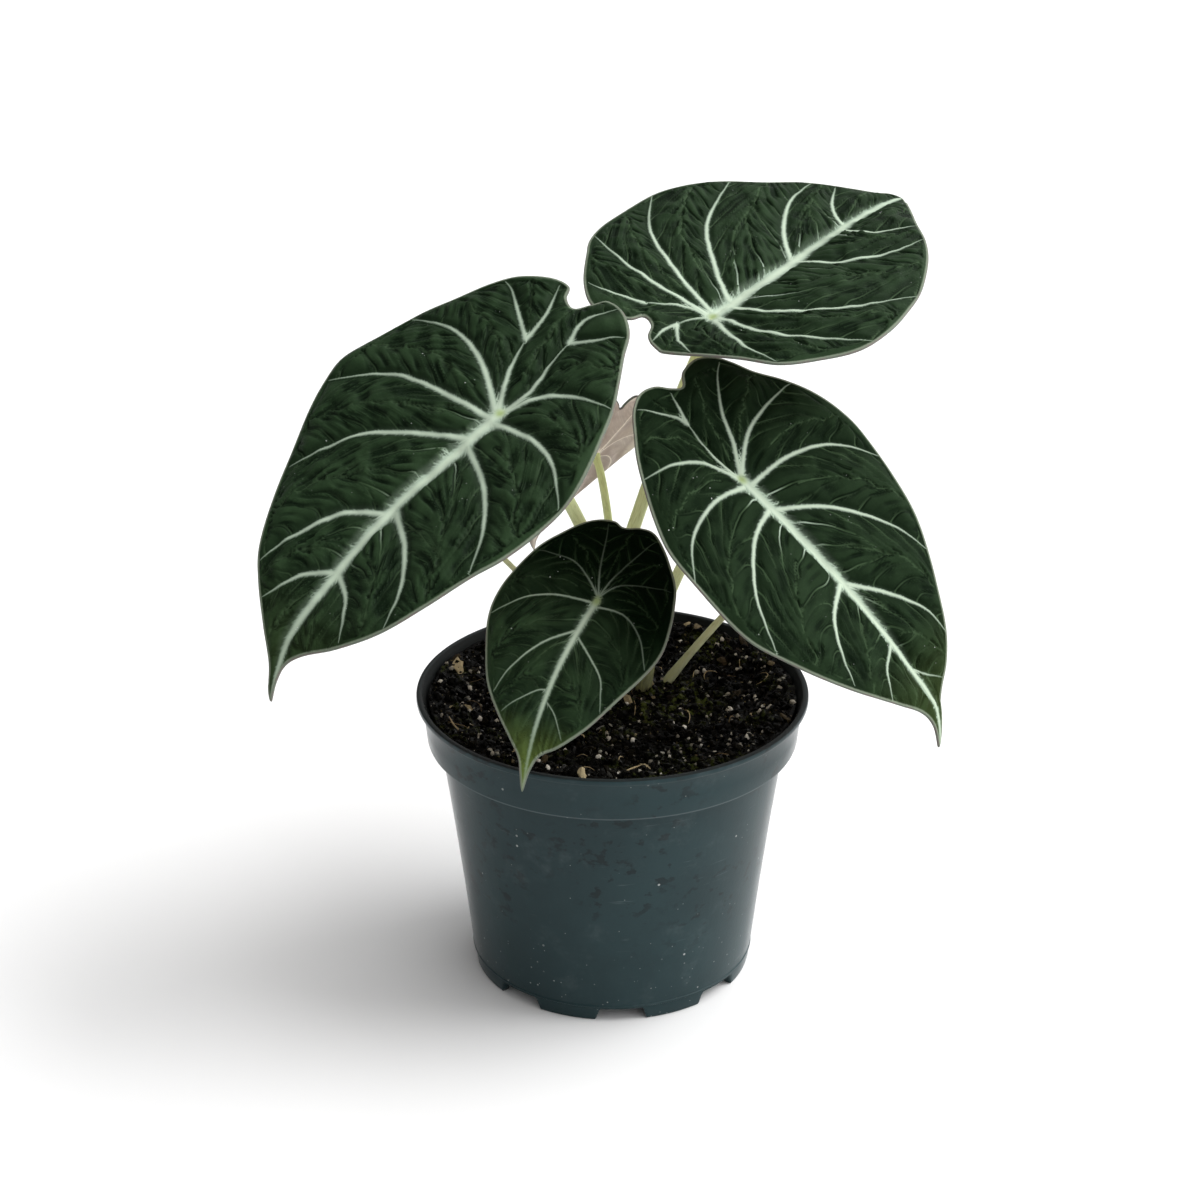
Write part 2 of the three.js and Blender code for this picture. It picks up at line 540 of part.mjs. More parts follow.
function stalkGeometry(leaf) {
  const { points, seat, seatNormal } = stalkPath(leaf);
  const [baseRadius, topRadius] = leaf.stalk.radius;
  const positions = [];
  const faces = [];
  let side = new THREE.Vector3(1, 0, 0);
  points.forEach((point, i) => {
    const before = points[Math.max(i - 1, 0)];
    const after = points[Math.min(i + 1, points.length - 1)];
    const along = after.clone().sub(before).normalize();
    side = side.clone().addScaledVector(along, -side.dot(along)).normalize();
    const other = new THREE.Vector3().crossVectors(along, side);
    const share = i / (points.length - 1);
    const sheath = 1 + (SHEATH_FLARE - 1) * (1 - smooth(1, SHEATH_END, i));
    const radius = (baseRadius + (topRadius - baseRadius) * share) * sheath;
    for (let k = 0; k < STALK_SIDES; k += 1) {
      const angle = 2 * Math.PI * k / STALK_SIDES;
      const corner = point.clone()
        .addScaledVector(side, radius * Math.cos(angle))
        .addScaledVector(other, radius * Math.sin(angle));
      if (i === points.length - 1) {
        const height = seat.clone().sub(corner).dot(seatNormal) / along.dot(seatNormal);
        corner.addScaledVector(along, height);
      }
      positions.push(corner.x, corner.y, corner.z);
    }
  });
  const rings = points.length;
  for (let i = 0; i + 1 < rings; i += 1) {
    for (let k = 0; k < STALK_SIDES; k += 1) {
      const a = i * STALK_SIDES + k;
      const b = i * STALK_SIDES + ((k + 1) % STALK_SIDES);
      faces.push(a, b, b + STALK_SIDES, a, b + STALK_SIDES, a + STALK_SIDES);
    }
  }
  const last = (rings - 1) * STALK_SIDES;
  for (let k = 1; k + 1 < STALK_SIDES; k += 1) {
    faces.push(0, k + 1, k, last, last + k, last + k + 1);
  }
  return geometryOf(positions, faces);
}

function toSolid(geometry) {
  const plain = geometry.clone();
  plain.deleteAttribute('normal');
  plain.deleteAttribute('uv');
  const merged = mergeVertices(plain, 1e-4);
  const mesh = new manifold.Mesh({
    numProp: 3,
    vertProperties: new Float32Array(merged.attributes.position.array),
    triVerts: new Uint32Array(merged.index.array),
  });
  return new manifold.Manifold(mesh);
}

function fromSolid(solid) {
  const mesh = solid.getMesh();
  return geometryOf(Array.from(mesh.vertProperties), Array.from(mesh.triVerts));
}

// A straight prism with a round section between two points.
function prismBetween(start, end, radius, sides) {
  const along = end.clone().sub(start);
  const geometry = new THREE.CylinderGeometry(radius, radius, along.length(), sides);
  geometry.applyQuaternion(new THREE.Quaternion()
    .setFromUnitVectors(new THREE.Vector3(0, 1, 0), along.clone().normalize()));
  geometry.translate((start.x + end.x) / 2, (start.y + end.y) / 2, (start.z + end.z) / 2);
  return geometry;
}

// Turned shape from a profile of radius and height pairs, both ends on the axis.
function turned(profile) {
  const points = profile.map(([r, z]) => new THREE.Vector2(r, z));
  const geometry = new THREE.LatheGeometry(points, ROUND_SEGMENTS);
  geometry.rotateX(Math.PI / 2);
  return geometry;
}

function potGeometry() {
  const bandBottom = POT_HEIGHT - BAND_HEIGHT;
  const lipBottom = POT_HEIGHT - LIP_HEIGHT;
  const shell = toSolid(turned([
    [0, FLOOR_BOTTOM],
    [BASE_RADIUS - FOOT_WIDTH, FLOOR_BOTTOM],
    [BASE_RADIUS - FOOT_WIDTH, 0],
    [BASE_RADIUS - 0.2, 0],
    [BASE_RADIUS + 0.2, 0.8],
    [BODY_TOP_RADIUS, bandBottom - 0.5],
    [BODY_TOP_RADIUS + 0.6, bandBottom],
    [BAND_BOTTOM_RADIUS - 0.3, bandBottom],
    [BAND_BOTTOM_RADIUS, bandBottom + 0.4],
    [BAND_TOP_RADIUS, lipBottom - 0.3],
    [RIM_RADIUS - 0.5, lipBottom],
    [RIM_RADIUS, lipBottom + 0.5],
    [RIM_RADIUS, POT_HEIGHT - 0.5],
    [RIM_RADIUS - 0.5, POT_HEIGHT],
    [RIM_RADIUS - LIP_WIDTH + 0.5, POT_HEIGHT],
    [RIM_RADIUS - LIP_WIDTH, POT_HEIGHT - 0.5],
    [BAND_TOP_RADIUS - WALL - 0.1, lipBottom - 1.3],
    [BAND_BOTTOM_RADIUS - WALL, bandBottom + 1.4],
    [BODY_TOP_RADIUS - WALL + 0.1, bandBottom - 1.2],
    [BASE_RADIUS - 0.5, FLOOR_TOP],
    [0, FLOOR_TOP],
  ]));
  const notches = [];
  for (let i = 0; i < NOTCH_COUNT; i += 1) {
    const [inner, outer] = [BASE_RADIUS - 6, BASE_RADIUS + 4];
    const [wide, narrow] = [NOTCH_BOTTOM_WIDTH / 2, NOTCH_TOP_WIDTH / 2];
    const corners = [
      inner, -wide, -0.01, outer, -wide, -0.01, outer, wide, -0.01, inner, wide, -0.01,
      inner, -narrow, NOTCH_HEIGHT, outer, -narrow, NOTCH_HEIGHT,
      outer, narrow, NOTCH_HEIGHT, inner, narrow, NOTCH_HEIGHT,
    ];
    const notch = geometryOf(corners, [
      0, 2, 1, 0, 3, 2, 4, 5, 6, 4, 6, 7, 0, 1, 5, 0, 5, 4,
      1, 2, 6, 1, 6, 5, 2, 3, 7, 2, 7, 6, 3, 0, 4, 3, 4, 7,
    ]);
    notch.rotateZ(radians(FIRST_NOTCH_DEGREES + i * 360 / NOTCH_COUNT));
    notches.push(toSolid(notch));
  }
  return fromSolid(notches.reduce((body, notch) => body.subtract(notch), shell));
}

// Uneven height of the soil's top.
function soilHeight(x, y) {
  const reach = Math.hypot(x, y) / RIM_RADIUS;
  const bumps = Math.sin(x * 0.31 + 1.3 * Math.sin(y * 0.23)) * Math.cos(y * 0.27 + 1.1 * Math.sin(x * 0.19))
    + 0.5 * Math.sin(x * 0.73 + 2) * Math.sin(y * 0.81 + 1);
  return SOIL_EDGE_HEIGHT + SOIL_MOUND * (1 - reach * reach) + SOIL_ROUGHNESS * bumps * 0.66 * (1 - 0.6 * reach);
}

function soilGeometry() {
  const bandBottom = POT_HEIGHT - BAND_HEIGHT;
  const topRadius = BAND_TOP_RADIUS - WALL - 0.15 - SOIL_GAP - 0.25;
  const sides = [
    [topRadius, 0],
    [BAND_BOTTOM_RADIUS - WALL - SOIL_GAP, bandBottom + 1.5],
    [BODY_TOP_RADIUS - WALL + 0.1 - SOIL_GAP, bandBottom - 1.05],
    [BASE_RADIUS - 0.5 - SOIL_GAP, FLOOR_TOP + SOIL_GAP],
  ];
  const positions = [0, 0, soilHeight(0, 0)];
  const faces = [];
  const addRing = (radius, heightOf) => {
    for (let k = 0; k < ROUND_SEGMENTS; k += 1) {
      const angle = 2 * Math.PI * (k + 0.5) / ROUND_SEGMENTS;
      const [x, y] = [radius * Math.cos(angle), radius * Math.sin(angle)];
      positions.push(x, y, heightOf(x, y));
    }
  };
  for (let i = 1; i <= SOIL_RINGS; i += 1) addRing(topRadius * (i / SOIL_RINGS) ** 0.85, soilHeight);
  sides.slice(1).forEach(([radius, z]) => addRing(radius, () => z));
  positions.push(0, 0, FLOOR_TOP + SOIL_GAP);
  const rings = SOIL_RINGS + sides.length - 1;
  const centreBelow = 1 + rings * ROUND_SEGMENTS;
  for (let k = 0; k < ROUND_SEGMENTS; k += 1) {
    const next = (k + 1) % ROUND_SEGMENTS;
    faces.push(0, 1 + k, 1 + next);
    for (let i = 0; i + 1 < rings; i += 1) {
      const a = 1 + i * ROUND_SEGMENTS + k;
      const b = 1 + i * ROUND_SEGMENTS + next;
      faces.push(a, a + ROUND_SEGMENTS, b + ROUND_SEGMENTS, a, b + ROUND_SEGMENTS, b);
    }
    const lastRing = 1 + (rings - 1) * ROUND_SEGMENTS;
    faces.push(lastRing + k, centreBelow, lastRing + next);
  }
  let soil = toSolid(geometryOf(positions, faces));
  const random = seeded(CRUMB_SEED);
  const stalks = Object.values(LEAVES);
  for (let placed = 0; placed < CRUMB_COUNT;) {
    const reach = (topRadius - 5) * Math.sqrt(random());
    const angle = 2 * Math.PI * random();
    const [x, y] = [reach * Math.cos(angle), reach * Math.sin(angle)];
    const radius = CRUMB_RADIUS[0] + (CRUMB_RADIUS[1] - CRUMB_RADIUS[0]) * random();
    const crumb = new THREE.IcosahedronGeometry(radius, 0);
    crumb.scale(1, 0.7 + 0.3 * random(), 0.75);
    crumb.rotateZ(6 * random());
    crumb.translate(x, y, soilHeight(x, y) - radius * 0.1);
    const clear = stalks.every(({ stalk }) => (
      Math.hypot(x - stalk.base[0], y - stalk.base[1]) > 2 * stalk.radius[0] + CRUMB_ROOM))
      && Math.hypot(x - CROWN_CENTRE[0], y - CROWN_CENTRE[1]) > CROWN_RADIUS + CRUMB_ROOM;
    if (clear) {
      soil = soil.add(toSolid(crumb));
      placed += 1;
    }
  }
  for (const leaf of stalks) {
    const { buried, base, lean } = stalkPath(leaf);
    const radius = (leaf.stalk.radius[0] * SHEATH_FLARE + HOLE_CLEARANCE) / Math.cos(Math.PI / STALK_SIDES);
    const below = buried.clone().addScaledVector(lean, -HOLE_CLEARANCE);
    const above = base.clone().addScaledVector(lean, 8);
    soil = soil.subtract(toSolid(prismBetween(below, above, radius, STALK_SIDES)));
  }
  const [crownX, crownY] = CROWN_CENTRE;
  const crownHole = prismBetween(
    new THREE.Vector3(crownX, crownY, CROWN_BOTTOM - HOLE_CLEARANCE),
    new THREE.Vector3(crownX, crownY, POT_HEIGHT + 6),
    (CROWN_RADIUS + HOLE_CLEARANCE) / Math.cos(Math.PI / CROWN_SIDES), CROWN_SIDES);
  return fromSolid(soil.subtract(toSolid(crownHole)));
}

// The stump that the stalks come from, a short ringed knob.
function crownGeometry() {
  const profile = [
    [0, CROWN_BOTTOM], [CROWN_RADIUS * 0.8, CROWN_BOTTOM], [CROWN_RADIUS, CROWN_BOTTOM + 3],
    [CROWN_RADIUS, CROWN_TOP - 3], [CROWN_RADIUS * 0.85, CROWN_TOP - 2.4],
    [CROWN_RADIUS * 0.9, CROWN_TOP - 1.4], [CROWN_RADIUS * 0.55, CROWN_TOP - 0.3], [0, CROWN_TOP],
  ].map(([r, z]) => new THREE.Vector2(r, z));
  const geometry = new THREE.LatheGeometry(profile, CROWN_SIDES);
  geometry.rotateX(Math.PI / 2);
  geometry.translate(CROWN_CENTRE[0], CROWN_CENTRE[1], 0);
  return fromSolid(toSolid(geometry));
}

function meshOf(name, geometry, colour, roughness) {
  geometry.computeVertexNormals();
  const material = new THREE.MeshStandardMaterial({ color: colour, roughness, metalness: 0 });
  const mesh = new THREE.Mesh(geometry, material);
  mesh.name = name;
  return mesh;
}

const group = new THREE.Group();
group.name = 'potted_alocasia';
group.add(meshOf('pot', potGeometry(), COLOURS.pot, 0.5));
group.add(meshOf('soil', soilGeometry(), COLOURS.soil, 0.95));
group.add(meshOf('crown', crownGeometry(), COLOURS.crown, 0.8));
for (const [name, leaf] of Object.entries(LEAVES)) {
  const bladeColour = name === 'young' ? COLOURS.youngBlade : COLOURS.blade;
  group.add(meshOf(`blade_${name}`, bladeGeometry(leaf), bladeColour, 0.6));
  group.add(meshOf(`petiole_${name}`, stalkGeometry(leaf), COLOURS.stalk, 0.5));
}

// The origin is the middle of the whole part's bounding box, at its foot.
const box = new THREE.Box3().setFromObject(group);
const shift = box.getCenter(new THREE.Vector3()).setZ(box.min.z).negate();
group.children.forEach((mesh) => mesh.geometry.translate(shift.x, shift.y, shift.z));

export default group;
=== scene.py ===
# A potted ninja alocasia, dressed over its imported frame.
# The scene is in metres. The leaves are drawn in millimetres, as in the part's own source:
# a blade lies flat with its stalk joint at 0,0 and its tip towards +v, and is then bent into place.
import math

import bpy
import numpy as np
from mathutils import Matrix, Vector, noise
from mathutils.geometry import delaunay_2d_cdt
from mathutils.kdtree import KDTree


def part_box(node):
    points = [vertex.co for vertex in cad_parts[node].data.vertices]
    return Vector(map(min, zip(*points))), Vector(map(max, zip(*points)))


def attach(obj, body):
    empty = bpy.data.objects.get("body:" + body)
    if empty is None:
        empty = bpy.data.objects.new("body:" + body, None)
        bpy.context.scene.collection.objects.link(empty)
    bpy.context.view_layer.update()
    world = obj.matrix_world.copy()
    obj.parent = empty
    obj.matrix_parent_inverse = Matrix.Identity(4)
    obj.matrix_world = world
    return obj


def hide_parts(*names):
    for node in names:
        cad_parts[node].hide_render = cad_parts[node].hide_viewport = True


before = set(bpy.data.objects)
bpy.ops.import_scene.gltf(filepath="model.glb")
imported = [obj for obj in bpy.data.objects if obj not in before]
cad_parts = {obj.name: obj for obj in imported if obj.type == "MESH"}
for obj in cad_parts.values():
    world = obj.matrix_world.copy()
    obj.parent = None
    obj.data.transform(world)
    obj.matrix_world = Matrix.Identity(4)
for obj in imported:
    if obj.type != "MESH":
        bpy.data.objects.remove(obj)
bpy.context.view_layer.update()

potLow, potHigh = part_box("pot")
potAxis = np.array([(potLow.x + potHigh.x) / 2, (potLow.y + potHigh.y) / 2, potLow.z]) * 1000
random = np.random.default_rng(11)


# Camera, floor and light

stage = {
    "target": (-3.8, 0.0, 121.7),       # mm from the foot of the pot's axis
    "distance": 940.0,                  # mm
    "elevation": 24.85,                 # degrees
    "lens": 93.36,
    "floorSize": 16.0,                  # metres
    "floorColour": (232, 232, 232),
    "skyStrength": 0.35,                # of the far left side of the sky
    "windowStrength": 2.2,              # of its bright right side
    "windowFrom": (0.95, 0.15, 0.25),
    "windowStart": -0.2,                # cosine of the angle from the bright side where it sets in
    "sunStrength": 2.4,
    "sunSoftness": 42.0,                # degrees across
    "sunFrom": (0.75, 0.10, 0.85),      # from the right and above
}


def linear(colour):
    # A screen colour, 0 to 255, as a linear colour with alpha.
    values = np.array(colour) / 255
    return (*np.where(values < 0.04045, values / 12.92, ((values + 0.055) / 1.055) ** 2.4), 1.0)


def setCamera():
    data = bpy.data.cameras.new("camera")
    data.lens = stage["lens"]
    camera = bpy.data.objects.new("camera", data)
    bpy.context.scene.collection.objects.link(camera)
    rise = math.radians(stage["elevation"])
    target = Vector((potAxis + np.array(stage["target"])) / 1000)
    back = Vector((0, -math.cos(rise), math.sin(rise)))
    camera.location = target + back * stage["distance"] / 1000
    camera.rotation_euler = (math.pi / 2 - rise, 0, 0)
    bpy.context.scene.camera = camera


def makeSky():
    # White all round, and brighter towards the window side.
    sky = bpy.data.worlds.new("studioSky")
    sky.use_nodes = True
    tree = sky.node_tree
    background = tree.nodes["Background"]
    background.inputs["Color"].default_value = (1, 1, 1, 1)
    direction = tree.nodes.new("ShaderNodeTexCoord")
    towards = tree.nodes.new("ShaderNodeVectorMath")
    towards.operation = "DOT_PRODUCT"
    towards.inputs[1].default_value = Vector(stage["windowFrom"]).normalized()
    strength = tree.nodes.new("ShaderNodeMapRange")
    strength.interpolation_type = "SMOOTHSTEP"
    strength.inputs["From Min"].default_value = stage["windowStart"]
    strength.inputs["To Min"].default_value = stage["skyStrength"]
    strength.inputs["To Max"].default_value = stage["windowStrength"]
    tree.links.new(direction.outputs["Generated"], towards.inputs[0])
    tree.links.new(towards.outputs["Value"], strength.inputs["Value"])
    tree.links.new(strength.outputs["Result"], background.inputs["Strength"])
    return sky


def setStage():
    bpy.ops.mesh.primitive_plane_add(size=stage["floorSize"], location=(0, 0, 0))
    floor = bpy.context.object
    floor.name = "floor"
    finish = Finish("floorPaper")
    finish.set({"Base Color": stage["floorColour"], "Roughness": 0.9, "Specular IOR Level": 0.1})
    floor.data.materials.append(finish.material)
    bpy.context.scene.world = makeSky()
    data = bpy.data.lights.new("softSun", "SUN")
    data.energy = stage["sunStrength"]
    data.angle = math.radians(stage["sunSoftness"])
    sun = bpy.data.objects.new("softSun", data)
    sun.rotation_euler = Vector(stage["sunFrom"]).to_track_quat("Z", "Y").to_euler()
    bpy.context.scene.collection.objects.link(sun)
    bpy.context.scene.view_settings.view_transform = "Standard"


# Shader maths

class Wire:
    # One output of a shader node; arithmetic on it adds Math nodes.
    def __init__(self, finish, socket):
        self.finish = finish
        self.socket = socket

    def maths(self, operation, *values):
        inputs = {index: value for index, value in enumerate(values)}
        return self.finish.node("ShaderNodeMath", {"operation": operation}, inputs)

    def __add__(self, other):
        return self.maths("ADD", self, other)

    __radd__ = __add__

    def __sub__(self, other):
        return self.maths("SUBTRACT", self, other)

    def __rsub__(self, other):
        return self.maths("SUBTRACT", other, self)

    def __mul__(self, other):
        return self.maths("MULTIPLY", self, other)

    __rmul__ = __mul__

    def __truediv__(self, other):
        return self.maths("DIVIDE", self, other)

    def __abs__(self):
        return self.maths("ABSOLUTE", self)

    def atLeast(self, other):
        return self.maths("MAXIMUM", self, other)

    def atMost(self, other):
        return self.maths("MINIMUM", self, other)

    def steps(self, low, high):
        # Runs smoothly from 0 at low to 1 at high.
        return self.finish.node(
            "ShaderNodeMapRange", {"interpolation_type": "SMOOTHSTEP"},
            {"Value": self, "From Min": low, "From Max": high})


class Finish:
    # One material with a Principled shader. Colours are given as screen colours, 0 to 255.
    def __init__(self, name):
        self.material = bpy.data.materials.new(name)
        self.material.use_nodes = True
        self.tree = self.material.node_tree
        self.shader = self.tree.nodes["Principled BSDF"]

    def feed(self, socket, value):
        if isinstance(value, Wire):
            self.tree.links.new(value.socket, socket)
        elif socket.type == "RGBA":
            socket.default_value = linear(value)
        else:
            socket.default_value = value

    def node(self, kind, settings, inputs, output=0):
        made = self.tree.nodes.new(kind)
        for name, value in settings.items():
            setattr(made, name, value)
        for name, value in inputs.items():
            self.feed(made.inputs[name], value)
        return Wire(self, made.outputs[output])

    def set(self, values):
        for name, value in values.items():
            self.feed(self.shader.inputs[name], value)

    def attribute(self, name):
        return self.node("ShaderNodeAttribute", {"attribute_name": name}, {}, 2)

    def place(self):
        return self.node("ShaderNodeTexCoord", {}, {}, 3)

    def point(self, x, y, z):
        return self.node("ShaderNodeCombineXYZ", {}, {"X": x, "Y": y, "Z": z})

    def onBlade(self, layer):
        # The place on the flat blade in mm; each layer has a pattern of its own.
        return self.point(self.attribute("flatU"), self.attribute("flatV"), layer)

    def vector(self, operation, inputs, output=0):
        return self.node("ShaderNodeVectorMath", {"operation": operation}, dict(enumerate(inputs)), output)

    def cloud(self, vector, scale, detail=3.0, roughness=0.55):
        # Soft noise. A scale with three values stretches it.
        if isinstance(scale, tuple):
            vector, scale = self.vector("MULTIPLY", [vector, scale]), 1.0
        return self.node("ShaderNodeTexNoise", {}, {
            "Vector": vector, "Scale": scale, "Detail": detail, "Roughness": roughness})

    def cells(self, vector, scale, output=0):
        return self.node("ShaderNodeTexVoronoi", {}, {"Vector": vector, "Scale": scale}, output)

    def ramp(self, factor, stops):
        made = self.node("ShaderNodeValToRGB", {}, {"Fac": factor})
        elements = made.socket.node.color_ramp.elements
        while len(elements) < len(stops):
            elements.new(0.5)
        for element, (place, colour) in zip(elements, stops):
            element.position = place
            element.color = linear(colour)
        return made

    def mix(self, factor, first, second):
        return self.node("ShaderNodeMix", {"data_type": "RGBA"}, {0: factor, 6: first, 7: second}, 2)

    def bump(self, height, strength, distance):
        return self.node("ShaderNodeBump", {}, {
            "Height": height, "Strength": strength, "Distance": distance / 1000})

    def specks(self, vector, scale, size, share):
        # Small round dots, in only a share of the cells.
        dots = 1 - self.cells(vector, scale).steps(size * 0.6, size)
        colour = self.cells(vector, scale, 1)
        pick = self.node("ShaderNodeSeparateColor", {}, {"Color": colour})
        return dots * pick.steps(1 - share, 1 - share + 0.02)


# Plain geometry

def bell(distance, width):
    return np.exp(-((distance / width) ** 2))


def smooth(low, high, x):
    t = np.clip((x - low) / (high - low), 0, 1)
    return t * t * (3 - 2 * t)


def curveThrough(points, steps, isClosed=False):
    # A smooth curve through the points, with some steps from each to the next.
    points = np.array(points, float)
    count = len(points)
    index = np.arange(count if isClosed else count - 1)

    def pick(offset):
        if isClosed:
            return points[(index + offset) % count][:, None, :]
        return points[np.clip(index + offset, 0, count - 1)][:, None, :]

    a, b, c, d = pick(-1), pick(0), pick(1), pick(2)
    t = (np.arange(steps) / steps)[None, :, None]
    curve = 0.5 * (2 * b + (c - a) * t + (2 * a - 5 * b + 4 * c - d) * t ** 2
                   + (3 * b - a - 3 * c + d) * t ** 3)
    curve = curve.reshape(-1, points.shape[1])
    return curve if isClosed else np.vstack([curve, points[-1]])


def closed(ring):
    return np.vstack([ring, ring[:1]])


def turnOf(ring):
    # Twice the area of a ring, which is positive where it runs counterclockwise.
    after = np.roll(ring, -1, axis=0)
    return np.sum(ring[:, 0] * after[:, 1] - after[:, 0] * ring[:, 1])


def lengthsAlong(path):
    steps = np.linalg.norm(np.diff(path, axis=0), axis=1)
    return np.concatenate([[0], np.cumsum(steps)])


def onPath(path, lengths, places):
    # The points of a path at some places along it, measured as its lengths are.
    return np.stack([np.interp(places, lengths, path[:, n]) for n in range(path.shape[1])], -1)


def resampled(path, count):
    # Evenly spaced points along a path, ends included.
    lengths = lengthsAlong(path)
    return onPath(path, lengths, np.linspace(0, lengths[-1], count))


def isInside(points, ring):
    inside = np.zeros(len(points), bool)
    for a, b in zip(ring, np.roll(ring, -1, axis=0)):
        if a[1] == b[1]:
            continue
        across = (a[1] > points[:, 1]) != (b[1] > points[:, 1])
        crossing = (b[0] - a[0]) * (points[:, 1] - a[1]) / (b[1] - a[1]) + a[0]
        inside ^= across & (points[:, 0] < crossing)
    return inside


def nearestOnPath(points, path):
    # Distance to a path, the same with a sign for its side, and how far along it the nearest point is.
    far = np.full(len(points), np.inf)
    side = np.zeros(len(points))
    along = np.zeros(len(points))
    lengths = lengthsAlong(path)
    for i in range(len(path) - 1):
        step = path[i + 1] - path[i]
        size = math.hypot(*step)
        if size < 1e-9:
            continue
        away = points - path[i]
        t = np.clip(away @ step / size ** 2, 0, 1)
        gap = away - t[:, None] * step
        distance = np.hypot(gap[:, 0], gap[:, 1])
        nearer = distance < far
        far[nearer] = distance[nearer]
        turn = step[0] * away[:, 1] - step[1] * away[:, 0]
        side[nearer] = (np.sign(turn) * distance)[nearer]
        along[nearer] = (lengths[i] + t * size)[nearer]
    return far, side, along


def anglesRound(count):
    return 2 * np.pi * np.arange(count) / count


def tubeFaces(rings, sides, start=0):
    # The faces of a tube whose rings of vertices follow each other, with a cap at each end.
    index = start + np.arange(sides)
    after = start + (np.arange(sides) + 1) % sides
    faces = [index[::-1].tolist(), (index + (rings - 1) * sides).tolist()]
    for first in range(0, (rings - 1) * sides, sides):
        low, nextLow = first + index, first + after
        faces += np.stack([low, nextLow, nextLow + sides, low + sides], 1).tolist()
    return faces


def makePiece(name, vertices, faces, materials, materialOf=None, values=None, isSmooth=True):
    # A mesh object in metres from vertices in mm from the foot of the pot's axis.
    mesh = bpy.data.meshes.new(name)
    mesh.from_pydata(((np.asarray(vertices) + potAxis) / 1000).tolist(), [], faces)
    for material in materials:
        mesh.materials.append(material)
    if materialOf is not None:
        mesh.polygons.foreach_set("material_index", np.asarray(materialOf, np.int32))
    mesh.polygons.foreach_set("use_smooth", np.full(len(mesh.polygons), isSmooth))
    for key, value in (values or {}).items():
        attribute = mesh.attributes.new(key, "FLOAT", "POINT")
        attribute.data.foreach_set("value", np.asarray(value, np.float32))
    mesh.update()
    piece = bpy.data.objects.new(name, mesh)
    bpy.context.scene.collection.objects.link(piece)
    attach(piece, "root")
    return piece


# Leaves: the drawings

commonHalf = [
    [0, -0.35], [0.03, -0.385], [0.09, -0.42], [0.16, -0.42], [0.24, -0.385], [0.33, -0.29],
    [0.4, -0.16], [0.44, -0.02], [0.45, 0.12], [0.435, 0.26], [0.39, 0.4], [0.325, 0.53],
    [0.245, 0.65], [0.16, 0.76], [0.085, 0.85], [0.04, 0.91], [0.022, 0.96], [0, 1],
]
commonVeins = [
    [[0, 0.03], [0.17, 0.04], [0.32, 0.11], [0.42, 0.22]],
    [[0, 0.13], [0.15, 0.22], [0.26, 0.36], [0.31, 0.5]],
    [[0, 0.42], [0.11, 0.52], [0.18, 0.64], [0.2, 0.72]],
    [[0, 0], [0.13, -0.09], [0.25, -0.13], [0.37, -0.14]],
    [[0, 0], [0.06, -0.12], [0.12, -0.24], [0.17, -0.33]],
]

